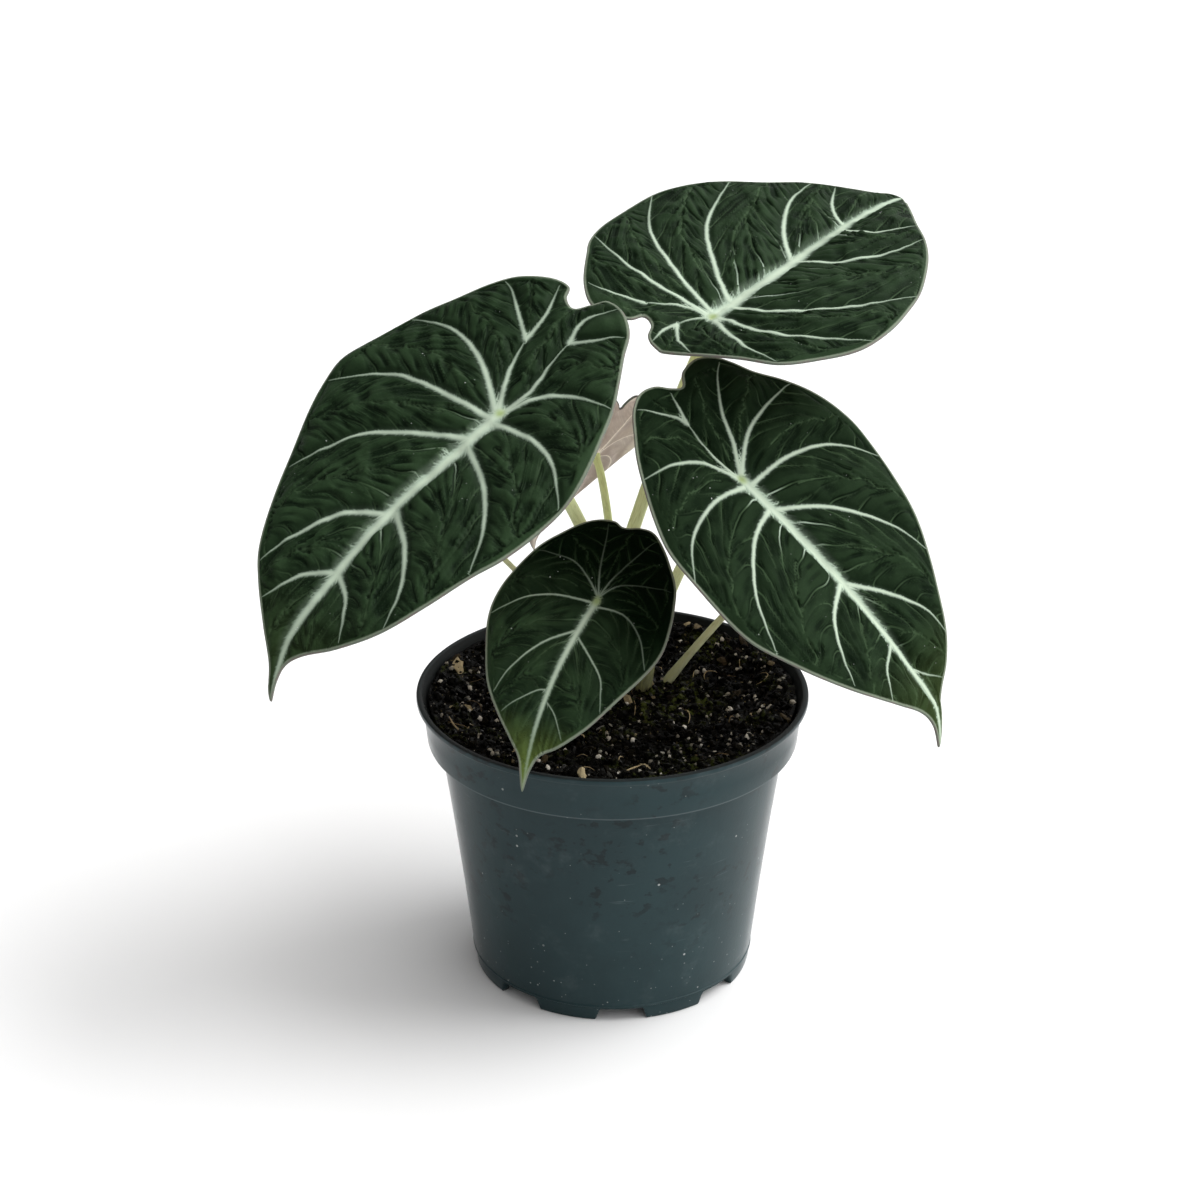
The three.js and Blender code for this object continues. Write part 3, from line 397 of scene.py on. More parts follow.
# One entry for each leaf, the same as in the part's source. joint is where the stalk meets the blade,
# in mm from the foot of the pot's axis; the outlines and veins are in mm on the flat blade.
leaves = {
    "left": {
        "joint": [-32.4, -15, 187.5], "heading": -137, "pitch": 30, "roll": 12, "length": 112,
        "droop": 6, "tipDroop": 14, "tipCurl": 28, "rearDroop": 10, "sway": 0.04,
        "foldLeft": 14, "foldRight": 4, "curlLeft": 20, "curlRight": 16,
        "wave": 1.1, "puff": 1.5, "rib": 1.4,
        "outline": [
            [-3, 107.5], [0.5, 105], [5, 99], [14, 91], [25, 81], [33, 72], [42, 56], [48, 44], [55, 29],
            [59, 16], [61, 6], [58, -6], [52, -18], [44, -28], [37, -38], [31, -44], [22, -48], [15, -48],
            [12.5, -44], [8, -42], [4.5, -46], [1, -50], [-7, -48], [-15, -42], [-20, -34], [-26, -25],
            [-32, -15], [-38, 0], [-41, 12], [-41, 23], [-38, 39], [-34, 49], [-29, 62], [-22, 76],
            [-13, 86], [-4, 92.5], [-0.5, 97], [-1, 102],
        ],
        "midrib": [[0, 0], [2, 22], [5, 45], [5, 70], [4, 90], [-3, 107]],
        "veins": [
            [[0, 3], [16, 3], [39, 5], [57, 16]], [[2, 12], [16, 18], [33, 28], [45, 46]],
            [[4, 44], [17, 51], [26, 66], [29, 75]], [[5, 67], [14, 73], [20, 84]],
            [[0, 4], [-18, 4], [-29, 8], [-37, 15]], [[1, 14], [-15, 23], [-26, 35], [-32, 47]],
            [[3, 43], [-9, 51], [-18, 62], [-21, 71]], [[5, 67], [-4, 72], [-10, 80]],
            [[2, 0], [17, -11], [33, -17], [50, -16]], [[1, 0], [8, -13], [12, -25]],
            [[12, -25], [20, -31], [28, -37]], [[12, -25], [13, -35], [17, -45]],
            [[0, 0], [-3, -10], [-1, -22], [0, -31]], [[0, -31], [2, -40], [-4, -48]],
            [[0, -31], [-6, -34], [-12, -38]], [[0, 0], [-7, -9], [-16, -14], [-27, -16]],
        ],
        "stalk": {"base": [6.5, 17], "lean": [-0.2, -0.1], "handles": [44, 35], "tilt": 0.36,
                  "radius": [2.3, 1.9], "depth": 12},
    },
    "top": {
        "joint": [30.3, 35, 199], "heading": 52, "pitch": -9, "roll": -8, "length": 126,
        "droop": 6, "tipDroop": 17, "tipCurl": 190, "rearDroop": -24, "sway": -0.02,
        "foldLeft": 14, "foldRight": 14, "curlLeft": 14, "curlRight": 18,
        "wave": 1.1, "puff": 1.5, "rib": 1.4,
        "outline": [
            [-3.2, 111], [0.8, 108], [4.2, 103.5], [16.5, 88], [27.5, 76], [36, 64], [44, 48], [48, 35],
            [51, 20], [50, 6], [43, -6], [35, -16], [24, -20], [7, -26], [-2, -26.5], [-7, -24],
            [-10, -18.5], [-14, -17], [-16, -22], [-24, -25.5], [-30, -24], [-38, -16], [-46, -4], [-51, 5],
            [-54, 19], [-54, 38], [-50, 50], [-43, 62], [-34, 73], [-26, 85], [-15, 97], [-9.5, 103.5],
            [-7, 108.5],
        ],
        "midrib": [[0, 0], [1, 25], [0, 50], [-2, 80], [-3, 100], [-3.2, 110]],
        "veins": [
            [[-1, 10], [-14, 20], [-30, 37], [-40, 62]], [[0, 42], [-12, 54], [-21, 70], [-24, 86]],
            [[-2, 74], [-11, 80], [-17, 90]], [[1, -1], [10, -7], [22, -13], [32, -15]],
            [[2, 0], [20, -2], [36, 3], [50, 11]], [[1, 7], [18, 11], [35, 25], [45, 43]],
            [[0, 42], [14, 48], [24, 63], [26, 76]], [[-1, 71], [10, 73], [18, 85]],
            [[0, 1], [-19, 8], [-40, 21], [-53, 39]], [[0, 0], [-18, -1], [-36, 1], [-50, 6]],
            [[0, -1], [-9, -3], [-18, -12]], [[-18, -12], [-24, -14], [-31, -16]],
            [[0, 0], [-4, -7], [-5, -12]], [[-5, -12], [-1, -17], [9, -24]],
            [[-5, -12], [-6, -17], [-5, -23]],
        ],
        "stalk": {"base": [-9, 22.5], "lean": [0.32, 0.03], "handles": [76, 25], "tilt": 1.1,
                  "radius": [2.3, 1.9], "depth": 12},
    },
    "right": {
        "joint": [37.7, -7, 163.5], "heading": -24, "pitch": 36, "roll": -18, "length": 100,
        "droop": 14, "tipDroop": 16, "tipCurl": 24, "rearDroop": 6, "sway": 0.02,
        "foldLeft": 12, "foldRight": 12, "curlLeft": 14, "curlRight": 20,
        "wave": 0.9, "puff": 1.4, "rib": 1.3,
        "outline": [
            [12, 97], [10, 91], [11.5, 85.5], [18, 78], [28, 66], [35, 55], [40, 44], [43.5, 34], [44.5, 23],
            [43.5, 11], [41, 0], [35.5, -10], [29, -19], [23, -26], [16, -32], [9, -37], [1, -39.5],
            [-4.5, -38], [-8, -34], [-11, -32], [-15, -35], [-22, -35], [-27.5, -31], [-30.5, -26],
            [-33, -20], [-38, -12], [-42, -3], [-44.5, 7], [-45, 15], [-43, 25], [-39, 36], [-35, 45],
            [-29, 55], [-23, 64], [-16, 74], [-9, 81], [-2, 86], [4.5, 92],
        ],
        "midrib": [[0, 0], [1, 22], [2, 50], [4, 75], [5, 88], [11, 96]],
        "veins": [
            [[0, 3], [-17, 5], [-32, 12], [-42, 24]], [[0, 13], [-14, 24], [-25, 40], [-29, 53]],
            [[2, 42], [-7, 53], [-14, 65], [-15, 74]], [[4, 74], [0, 79], [-3, 82]],
            [[2, 2], [16, -1], [32, 2], [43, 11]], [[2, 12], [16, 15], [31, 26], [39, 40]],
            [[3, 42], [15, 47], [23, 56], [27, 64]], [[4, 65], [13, 69], [19, 76]],
            [[-1, -1], [-13, -8], [-24, -10], [-35, -10]], [[0, 0], [-8, -10], [-13, -18], [-20, -25]],
            [[0, 0], [1, -9], [-2, -23]], [[-2, -23], [-5, -30]], [[-2, -23], [-1, -27], [4, -33]],
            [[1, -1], [6, -11], [15, -17], [27, -20]],
        ],
        "stalk": {"base": [9.5, 8.5], "lean": [0.11, -0.04], "handles": [32, 25], "tilt": 0.06,
                  "radius": [2.1, 1.7], "depth": 12},
    },
    "front": {
        "joint": [-4.7, -25, 132.6], "heading": -116, "pitch": 34, "roll": 14, "length": 61,
        "droop": 20, "tipDroop": 12, "tipCurl": 12, "rearDroop": 14, "sway": 0.04,
        "foldLeft": 8, "foldRight": 6, "curlLeft": 22, "curlRight": 22,
        "wave": 0.5, "puff": 0.9, "rib": 0.9,
        "outline": [
            [0.5, 61.5], [3, 56], [5, 52], [10, 47], [16, 41], [21.5, 34], [26, 24], [29, 15], [29.5, 7],
            [28, -2], [24, -12], [18.5, -19], [14, -24], [9.5, -27], [5, -28], [2, -27], [-3, -28.5],
            [-7.5, -28], [-12, -24], [-16, -19], [-20, -13], [-22, -7], [-23.5, 0], [-24, 9], [-21.5, 18],
            [-17, 28], [-12, 38], [-6, 46], [-1.5, 50], [0, 55],
        ],
        "midrib": [[0, 0], [2, 15], [3, 30], [2.5, 45], [0.5, 60]],
        "veins": [
            [[1, 1], [10, 2], [19, 5], [26, 11]], [[2, 11], [10, 18], [16, 28], [18, 36]],
            [[3, 31], [6, 32], [10, 36]], [[0, 2], [-9, 2], [-16, 7], [-20, 14]],
            [[2, 12], [-5, 18], [-10, 23], [-12, 28]], [[3, 34], [-1, 37], [-4, 41]],
            [[0, -1], [5, -6], [11, -10], [20, -11]], [[0, -1], [3, -10], [5, -20]],
            [[0, -1], [-2, -9], [-7, -21]], [[0, -1], [-5, -7], [-16, -10]],
        ],
        "stalk": {"base": [0, 6], "lean": [-0.05, -0.25], "handles": [21, 17], "tilt": 0,
                  "radius": [1.8, 1.4], "depth": 12},
    },
    "back": {
        "joint": [-5.6, 32.6, 156.5], "heading": 126, "pitch": 50, "roll": -15, "length": 54,
        "droop": 6, "tipDroop": 5, "tipCurl": 10, "rearDroop": -26, "sway": -0.1,
        "foldLeft": 11, "foldRight": 15, "curlLeft": 22, "curlRight": 22,
        "wave": 0.5, "puff": 0.7, "rib": 1,
        "widthLeft": 0.8, "widthRight": 0.62, "rearLength": 1.18,
        "stalk": {"base": [4, 28], "lean": [-0.12, 0.08], "handles": [28, 10], "tilt": 0.36,
                  "radius": [1.5, 1.2], "depth": 12},
    },
    "behind_right": {
        "joint": [53.4, 28, 127.5], "heading": 0, "pitch": 35, "roll": -10, "length": 52,
        "droop": 22, "tipDroop": 8, "tipCurl": 10, "rearDroop": 12, "sway": 0,
        "foldLeft": 8, "foldRight": 8, "curlLeft": 22, "curlRight": 22,
        "wave": 0.5, "puff": 0.8, "rib": 0.8,
        "widthLeft": 0.9, "widthRight": 0.9, "rearLength": 0.9,
        "stalk": {"base": [16.4, 14.3], "lean": [0.72, 0.11], "handles": [21, 17], "tilt": -0.09,
                  "radius": [1.35, 1.1], "depth": 7},
    },
    "young": {
        "joint": [-52.3, 15, 148.1], "heading": -160, "pitch": 30, "roll": 10, "length": 46,
        "droop": 20, "tipDroop": 8, "tipCurl": 10, "rearDroop": 12, "sway": 0,
        "foldLeft": 8, "foldRight": 8, "curlLeft": 22, "curlRight": 22,
        "wave": 0.5, "puff": 0.7, "rib": 0.7,
        "widthLeft": 0.9, "widthRight": 0.9, "rearLength": 0.9,
        "stalk": {"base": [-8, 12.5], "lean": [-0.23, 0.01], "handles": [31, 23], "tilt": 0.18,
                  "radius": [1.1, 0.8], "depth": 9},
    },
}

blade = {
    "thickness": 0.8,                   # mm
    "curveSteps": 6,                    # from each drawn point to the next
    "halfWidthShare": 0.45,             # of the length
    "tipCurlStart": 0.86,               # share of the length from where the tip curls down
    "wavesPerBlade": 12,                # of the margin, in radians
    "grooveShare": 0.037,               # width of the main veins' grooves, as a share of the length
    "marginShare": 0.06,                # share of the length over which the relief dies away to the edge
    "ribWidths": (2.2, 1.6),            # mm, of the ribs under the midrib and under the side veins
    "sideRibShare": 0.6,                # height of the side ribs, as a share of the midrib's
    "rimRound": 0.28,                   # mm, how far the rounded edge bulges
    "midribTip": 0.6,                   # mm, the midrib's width at its tip
    "veinTip": 0.3,                     # mm
    "panelSteps": 40,                   # along each panel between two main veins
    "rippleGap": 0.028,                 # between ripples of the net, as a share of the length
    "netStep": 0.15,                    # mm between the points that stand for the lines of the net
    "netWaves": (6.5, 0.65),            # mm, size and height of the waves that all lines of the net share
    "ripplesPerVein": 3,                # every third ripple is a small vein that shows its colour
    "netAngle": 34.0,                   # degrees between a small vein and its main vein
    "netRib": 0.22,                     # mm, how far the net stands out underneath
    "spurGap": 2.2,                     # mm between the short spurs of the midrib
    "reliefPatches": 5.5,               # mm, size of the patches in which the net is clearer
    "quiltPatches": 9.0,                # mm, size of the patches in which its panels stand up more
    "quiltGroove": 0.9,                 # mm
    "unevenness": (5.0, 0.4),           # mm, size and height of the bulges between the veins
    "shortVein": 30.0,                  # mm; shorter main veins are narrower
    "flare": (0.45, 2.4),               # how much wider a main vein is at its root, and over how many mm
    "cord": 0.3,                        # mm, how far the main veins stand up in their grooves
}
# How each blade is dressed. In mm: size of the triangles, widths of the midrib and of the main veins at
# their roots, and how far the panels of the net stand up. taper says how late the midrib narrows, spurs
# how long its side spurs are; pale and net are how pale the main and the small veins are, relief how
# clearly the net is marked, shade, rearShade and sideShade how much painted shade darkens the whole blade,
# its rear and its side to the right, and tipGreen how yellow-green its tip is.
lookNames = ("spacing", "midrib", "vein", "quilt", "taper", "spurs", "pale", "net", "relief", "shade",
             "rearShade", "sideShade", "tipGreen")
bladeLooks = {
    "left": (0.66, 4.9, 2.05, 0.9, 0.5, 0.9, 0.68, 0.75, 1.2, 0.0, 0.0, 0.0, 0.12),
    "top": (0.64, 5.9, 1.8, 0.85, 0.55, 1.1, 0.78, 1.1, 1.2, 0.15, 0.0, 0.0, 0.0),
    "right": (0.62, 4.1, 1.5, 0.55, 0.48, 1.2, 1.0, 0.85, 1.0, 0.42, 0.25, 0.0, 0.2),
    "front": (0.46, 2.6, 0.75, 0.42, 0.75, 0.2, 0.38, 0.45, 1.0, -0.2, 1.35, 0.6, 1.0),
    "back": (0.6, 1.7, 0.75, 0.3, 0.6, 0.5, 0.7, 0.5, 0.7, 0.0, 0.0, 0.0, 0.3),
}
bladeLooks = {name: dict(zip(lookNames, look)) for name, look in bladeLooks.items()}
bladeLooks["behind_right"] = bladeLooks["back"]
bladeLooks["young"] = bladeLooks["back"]


def bowAt(leaf, share):
    # How far the midrib sways sideways at a share of the blade's length.
    inside = np.clip(share, 0, 1)
    return leaf["sway"] * leaf["length"] * 4 * inside * (1 - inside)


def drawBlade(leaf):
    # Outline, midrib and main veins of the flat blade. A leaf without a drawing of its own has the common
    # one, stretched to its length and widths.
    if "outline" in leaf:
        return leaf["outline"], leaf["midrib"], leaf["veins"]
    length = leaf["length"]

    def place(point, sign):
        rear = leaf["rearLength"] if point[1] < 0 else 1
        width = leaf["widthRight"] if sign > 0 else leaf["widthLeft"]
        return [sign * point[0] * width * length + bowAt(leaf, point[1]), point[1] * rear * length]

    outline = [place(p, 1) for p in commonHalf[:0:-1]] + [place(p, -1) for p in commonHalf[:-1]]
    midrib = [place([0, v], 1) for v in (0, 0.25, 0.5, 0.75, 0.98)]
    veins = [[place(p, sign) for p in vein] for sign in (1, -1) for vein in commonVeins]
    return outline, midrib, veins


def reachMargin(veins, edge):
    # Carries the free end of each main vein on to the margin, turning a little towards the blade's tip.
    step, turn, mostSteps, clearance = 0.5, 0.035, 30, 0.9
    roots = {tuple(vein[0]) for vein in veins}
    grown = []
    for vein in veins:
        if tuple(vein[-1]) in roots:
            grown.append(vein)
            continue
        way = np.subtract(vein[-1], vein[-2])
        way = way / np.hypot(*way)
        spots = [np.array(vein[-1], float)]
        for _ in range(mostSteps):
            way = way + np.array([0, turn])
            way /= np.hypot(*way)
            spots.append(spots[-1] + way * step)
        spots = np.array(spots[1:])
        free = isInside(spots, edge) & (nearestOnPath(spots, closed(edge))[0] > clearance)
        count = len(spots) if free.all() else int(np.argmin(free))
        grown.append(vein + spots[2:count:3].tolist())
    return grown


def wholeVeins(veins):
    # Each vein from its root to the margin: a fork gets its parent's path in front.
    parents = {tuple(vein[-1]): vein for vein in veins}
    roots = {tuple(vein[0]) for vein in veins}
    paths = []
    for vein in veins:
        if tuple(vein[-1]) not in roots:
            parent = parents.get(tuple(vein[0]))
            paths.append(parent + vein[1:] if parent else vein)
    return sorted(paths, key=lambda path: math.atan2(path[-1][0], path[-1][1]) % (2 * math.pi))


def netPanels(midrib, paths):
    # Pairs of neighbouring main veins, round the whole blade; the tip of the midrib closes the circle.
    count = blade["panelSteps"] + 1

    def tipOf(path):
        return resampled(midrib[midrib[:, 1] >= path[0, 1] - 0.5], count)

    curves = [resampled(curveThrough(path, blade["curveSteps"]), count) for path in paths]
    circle = [tipOf(curves[0]), *curves, tipOf(curves[-1])]
    return list(zip(circle, circle[1:]))


def netLines(pair, gap, chance):
    # The net of one panel, as paths with their colour and depth: ripples that leave the midrib side by
    # side, ripples that slant off both main veins, and the zigzag vein in the middle that gathers them.
    first, second = pair
    panelSteps = blade["panelSteps"]
    widest = int(panelSteps * 0.65)
    rootWidth = np.hypot(*(second[0] - first[0]))
    width = np.hypot(*(second[widest] - first[widest]))
    length = (lengthsAlong(first)[-1] + lengthsAlong(second)[-1]) / 2
    if width < gap or length < 2 * gap:
        return []

    def at(share, place):
        # Points between the two main veins: share is how far across, place how far along.
        place = np.clip(place, 0, 1) * panelSteps
        a, b = (onPath(vein, np.arange(panelSteps + 1), place) for vein in pair)
        share = np.asarray(share)[..., None]
        return a * (1 - share) + b * share

    def line(share, place, isVein, startTone, endTone=0.06):
        # A small vein starts pale and dies away; a ripple has no colour and fades out at both ends.
        t = np.linspace(0, 1, len(share))
        if isVein:
            tone = endTone + (startTone - endTone) * (1 - smooth(0.0, 0.7, t))
            return at(share, place), tone, np.ones(len(t))
        begin, end = 0.35 * chance.random(), 0.65 + 0.4 * chance.random()
        depth = (0.3 + 0.65 * chance.random()) * smooth(begin - 0.15, begin + 0.15, t)
        return at(share, place), np.zeros(len(t)), depth * (1 - smooth(end - 0.15, end + 0.1, t))

    lines = []
    every = blade["ripplesPerVein"]
    t = np.linspace(0, 1, 12)
    count = int(rootWidth / gap)
    for k in range(count):
        start = (k + 0.5 + 0.3 * (chance.random() - 0.5)) / count
        far = 0.28 + 0.4 * abs(2 * start - 1) + 0.08 * chance.random()
        wobble = 0.012 * np.sin(9 * t + 6 * chance.random())
        share = start + (0.5 - start) * t ** 1.7 + wobble
        lines.append(line(share, far * t, k % every == 1, 0.5 + 0.45 * chance.random(), 0.22))

    reach = min(0.5, 0.5 * width / math.tan(math.radians(blade["netAngle"])) / length)
    gather = [0.22 + 0.1 * chance.random()]
    for side in (0, 1):
        place = 0.1 + 0.05 * chance.random()
        number = int(3 * chance.random())
        while place < 1.05:
            isVein = number % every == 0
            back = reach * (0.85 + 0.3 * chance.random())
            share = (0.49 + 0.04 * (chance.random() - 0.5)) * t ** 0.85
            share = share + 0.01 * np.sin(8 * t + 6 * chance.random()) * np.sin(np.pi * t)
            places = place + back * t ** 1.2
            lines.append(line(share if side == 0 else 1 - share, places, isVein, 0.3))
            if isVein:
                gather.append(min(1, place + back))
            place += gap / length * (0.75 + 0.5 * chance.random())
            number += 1
    gather = np.unique(np.round(sorted(gather + [1.0]), 3))
    zigzag = 0.5 + 0.03 * (-1.0) ** np.arange(len(gather)) + chance.normal(0, 0.012, len(gather))
    places = np.interp(np.linspace(0, len(gather) - 1, 4 * len(gather)), np.arange(len(gather)), gather)
    shares = np.interp(places, gather, zigzag)
    lines.append((at(shares, places), np.full(len(places), 0.26), np.ones(len(places))))
    return lines


def spurLines(midrib, halfWidth, reach, chance):
    # Short pale spurs that leave both sides of the midrib, slanting towards the blade's tip.
    lengths = lengthsAlong(midrib)
    lines = []
    for side in (1, -1):
        place = 2.0 * chance.random()
        while place < lengths[-1] * 0.94:
            spot, ahead = onPath(midrib, lengths, np.array([place, place + 1]))
            way = (ahead - spot) / (np.hypot(*(ahead - spot)) + 1e-9)
            angle = math.radians(42 + 22 * chance.random()) * side
            turned = np.array([way[0] * math.cos(angle) - way[1] * math.sin(angle),
                               way[0] * math.sin(angle) + way[1] * math.cos(angle)])
            root = np.interp(place / lengths[-1], [0, 1], [halfWidth, halfWidth * 0.15])
            taper = 0.45 + 0.55 * root / halfWidth
            size = root * 0.8 + reach * (0.5 + 2.0 * chance.random() ** 2.5) * taper
            steps = np.linspace(0, 1, 6)[:, None]
            path = spot + turned * steps * (root + size)
            shade = 0.95 * (1 - smooth(0.45, 1.0, steps[:, 0]))
            lines.append((path, shade, np.zeros(6)))
            place += blade["spurGap"] * (0.4 + 1.2 * chance.random())
    return lines


def netOf(points, leaf, midrib, paths, look, seed):
    # For each point, its distance from the nearest line of the net, the same with a sign for its side,
    # and that line's colour and depth.
    chance = np.random.default_rng(seed)
    spots, ways, tones, depths = [], [], [], []
    gap = blade["rippleGap"] * leaf["length"] + 0.35
    waveSize, waves = blade["netWaves"]
    lines = spurLines(midrib, look["midrib"] / 2, look["spurs"], chance)
    spurCount = len(lines)
    for pair in netPanels(midrib, paths):
        lines += netLines(pair, gap, chance)
    for number, (path, tone, depth) in enumerate(lines):
        isSpur = number < spurCount
        count = max(3, int(lengthsAlong(path)[-1] / blade["netStep"]))
        fine = resampled(path, count)
        if not isSpur:
            fine = fine + waves * np.stack([unevenHeights(fine, waveSize, part) for part in (3.7, 8.2)], 1)
        way = np.gradient(fine, axis=0)
        spread = np.linspace(0, 1, count)
        spots.append(fine)
        ways.append(way / (np.hypot(*way.T)[:, None] + 1e-9))
        fade = 1 if isSpur else look["net"]
        tones.append(fade * np.interp(spread, np.linspace(0, 1, len(tone)), tone))
        depths.append(np.interp(spread, np.linspace(0, 1, len(depth)), depth))
    spots, ways, tones, depths = (np.concatenate(parts) for parts in (spots, ways, tones, depths))
    tree = KDTree(len(spots))
    for i, (x, y) in enumerate(spots.tolist()):
        tree.insert((x, y, 0), i)
    tree.balance()
    nearest = np.array([tree.find((x, y, 0))[1] for x, y in points.tolist()])
    away = points - spots[nearest]
    side = ways[nearest, 0] * away[:, 1] - ways[nearest, 1] * away[:, 0]
    patches = smooth(-0.3, 0.25, unevenHeights(points, blade["reliefPatches"], seed + 40))
    depth = np.minimum(depths[nearest] * (look["relief"] * (0.3 + 0.7 * patches)), 1)
    return {"netFar": np.hypot(*away.T), "netSide": side, "netTone": tones[nearest], "netDepth": depth}


def makeBender(leaf):
    # The same bend as the solid's: the midrib droops, and the halves fold up and curl down.
    def radians(*keys):
        return [math.radians(leaf[key]) for key in keys]

    heading, pitch, roll = radians("heading", "pitch", "roll")
    droop, tipDroop, tipCurl, rearDroop = radians("droop", "tipDroop", "tipCurl", "rearDroop")
    folds = radians("foldLeft", "foldRight")
    curls = radians("curlLeft", "curlRight")
    along = np.array([math.cos(heading) * math.cos(pitch), math.sin(heading) * math.cos(pitch),
                      -math.sin(pitch)])
    levelSide = np.array([math.sin(heading), -math.cos(heading), 0])
    levelUp = np.cross(levelSide, along)
    side = levelSide * math.cos(roll) + levelUp * math.sin(roll)
    up = levelUp * math.cos(roll) - levelSide * math.sin(roll)
    length = leaf["length"]
    halfWidth = blade["halfWidthShare"] * length

    def slope(t):
        curl = np.clip((t - blade["tipCurlStart"]) / (1 - blade["tipCurlStart"]), 0, 2) ** 2
        front = -(droop * t + tipDroop * t ** 4 + tipCurl * curl)
        return np.where(t > 0, front, -rearDroop * t)

    # The midrib's path is added up in small steps, from behind the joint to past the tip.
    behind, past, parts = 700, 1301, 1000
    marks = np.arange(-behind, past) / parts
    middles = (marks[1:] + marks[:-1]) / 2
    runs = np.concatenate([[0], np.cumsum(np.cos(slope(middles)) / parts)])
    rises = np.concatenate([[0], np.cumsum(np.sin(slope(middles)) / parts)])
    runs, rises = runs - runs[behind], rises - rises[behind]

    def middleFace(u, v):
        t = v / length
        angle = slope(t)
        bow = bowAt(leaf, t)
        right = u >= bow
        reach = np.abs(u - bow)
        fold = np.where(right, folds[1], folds[0])
        curl = np.where(right, curls[1], curls[0])
        bend = fold - curl * reach / halfWidth
        across = halfWidth / curl * (np.sin(fold) - np.sin(bend))
        phase = v * blade["wavesPerBlade"] / length + np.where(right, 0, 2)
        wave = leaf["wave"] * (reach / halfWidth) ** 3 * np.sin(phase)
        rise = halfWidth / curl * (np.cos(bend) - np.cos(fold)) + wave
        sideways = bow + np.where(right, across, -across)
        onward = np.interp(t, marks, runs) * length - rise * np.sin(angle)
        upward = np.interp(t, marks, rises) * length + rise * np.cos(angle)
        return (np.array(leaf["joint"]) + sideways[:, None] * side + onward[:, None] * along
                + upward[:, None] * up)

    def bend(points, lift):
        u, v = np.asarray(points, float).T
        d = 0.2
        acrossWay = middleFace(u + d, v) - middleFace(u - d, v)
        alongWay = middleFace(u, v + d) - middleFace(u, v - d)
        normal = np.cross(acrossWay, alongWay)
        normal /= np.linalg.norm(normal, axis=1)[:, None]
        return middleFace(u, v) + normal * np.asarray(lift)[:, None]

    return bend


def flatMesh(edge, spacing):
    # Evenly spread points inside the outline with the rim's first, the triangles between them, the number
    # of points on the rim, and the way out at each of those.
    length = lengthsAlong(closed(edge))[-1]
    ring = resampled(closed(edge), int(length / spacing) + 1)[:-1]
    way = np.roll(ring, -1, axis=0) - np.roll(ring, 1, axis=0)
    outward = np.stack([way[:, 1], -way[:, 0]], 1) / np.hypot(*way.T)[:, None] * np.sign(turnOf(ring))
    ring = ring - outward * blade["rimRound"]
    low, high = ring.min(0), ring.max(0)
    rowGap = spacing * math.sqrt(3) / 2
    rows = int((high[1] - low[1]) / rowGap) + 1
    columns = int((high[0] - low[0]) / spacing) + 2
    row, column = np.meshgrid(np.arange(rows), np.arange(columns), indexing="ij")
    across = low[0] + (column + 0.5 * (row % 2)) * spacing
    grid = np.stack([across, low[1] + row * rowGap], -1).reshape(-1, 2)
    grid = grid[isInside(grid, ring)]
    grid = grid[nearestOnPath(grid, closed(ring))[0] > spacing * 0.5]
    points = np.vstack([ring, grid])
    border = [(i, (i + 1) % len(ring)) for i in range(len(ring))]
    made = delaunay_2d_cdt([Vector(p) for p in points.tolist()], border, [], 1, 1e-7)
    source = np.array([origin[0] for origin in made[3]])
    triangles = source[np.array(made[2])]
    a, b, c = (points[triangles[:, n]] for n in range(3))
    turn = (b[:, 0] - a[:, 0]) * (c[:, 1] - a[:, 1]) - (b[:, 1] - a[:, 1]) * (c[:, 0] - a[:, 0])
    triangles[turn < 0] = triangles[turn < 0][:, ::-1]
    return points, triangles, len(ring), outward


def mainVeins(points, leaf, midrib, veins, look):
    # For each point, its distance, side and place on the nearest main vein, with that vein's half width and
    # paleness there. Then how far the point is out of the grooves of all of them, and its distance from the
    # midrib and from the nearest side vein.
    groove = blade["grooveShare"] * leaf["length"]
    far, side, along = nearestOnPath(points, midrib)
    share = along / lengthsAlong(midrib)[-1]
    half = 0.5 * (look["midrib"] * np.clip(1 - share, 0, 1) ** look["taper"] + blade["midribTip"] * share)
    rootPale = min(1, look["pale"] * 1.55)
    pale = rootPale - (rootPale + 0.2 - look["pale"]) * smooth(0.2, 1.0, share)
    toMidrib = far.copy()
    toSide = np.full(len(points), np.inf)
    panel = 1 - bell(far, groove)
    flare, flareLength = blade["flare"]
    ends = {tuple(vein[-1]) for vein in veins}
    for vein in veins:
        path = curveThrough(vein, blade["curveSteps"])
        isFork = tuple(vein[0]) in ends
        veinFar, veinSide, veinAlong = nearestOnPath(points, path)
        whole = lengthsAlong(path)[-1]
        share = veinAlong / whole
        size = 0.7 if isFork else min(1, 0.15 + 0.85 * whole / blade["shortVein"])
        root, tip = look["vein"] * size, blade["veinTip"]
        veinPale = look["pale"] * (0.4 + 0.6 * size) * (1 - 0.55 * smooth(0.5, 1.0, share))
        veinHalf = 0.5 * (tip + (root - tip) * (1 - share ** 2.2))
        veinHalf *= 1 + flare * np.exp(-np.maximum(veinAlong - half * 0.8, 0) / flareLength)
        panel *= 1 - bell(veinFar, groove)
        toSide = np.minimum(toSide, veinFar)
        nearer = veinFar - veinHalf < far - half
        news = (veinFar, veinSide, veinAlong, veinHalf, veinPale)
        for kept, new in zip((far, side, along, half, pale), news):
            kept[nearer] = new[nearer]
    fields = {"veinFar": far, "veinSide": side, "veinHalf": half, "veinAlong": along, "pale": pale}
    return fields, panel, toMidrib, toSide


def unevenHeights(points, scale, seed):
    return np.array([noise.noise((x / scale, y / scale, seed)) for x, y in points.tolist()])


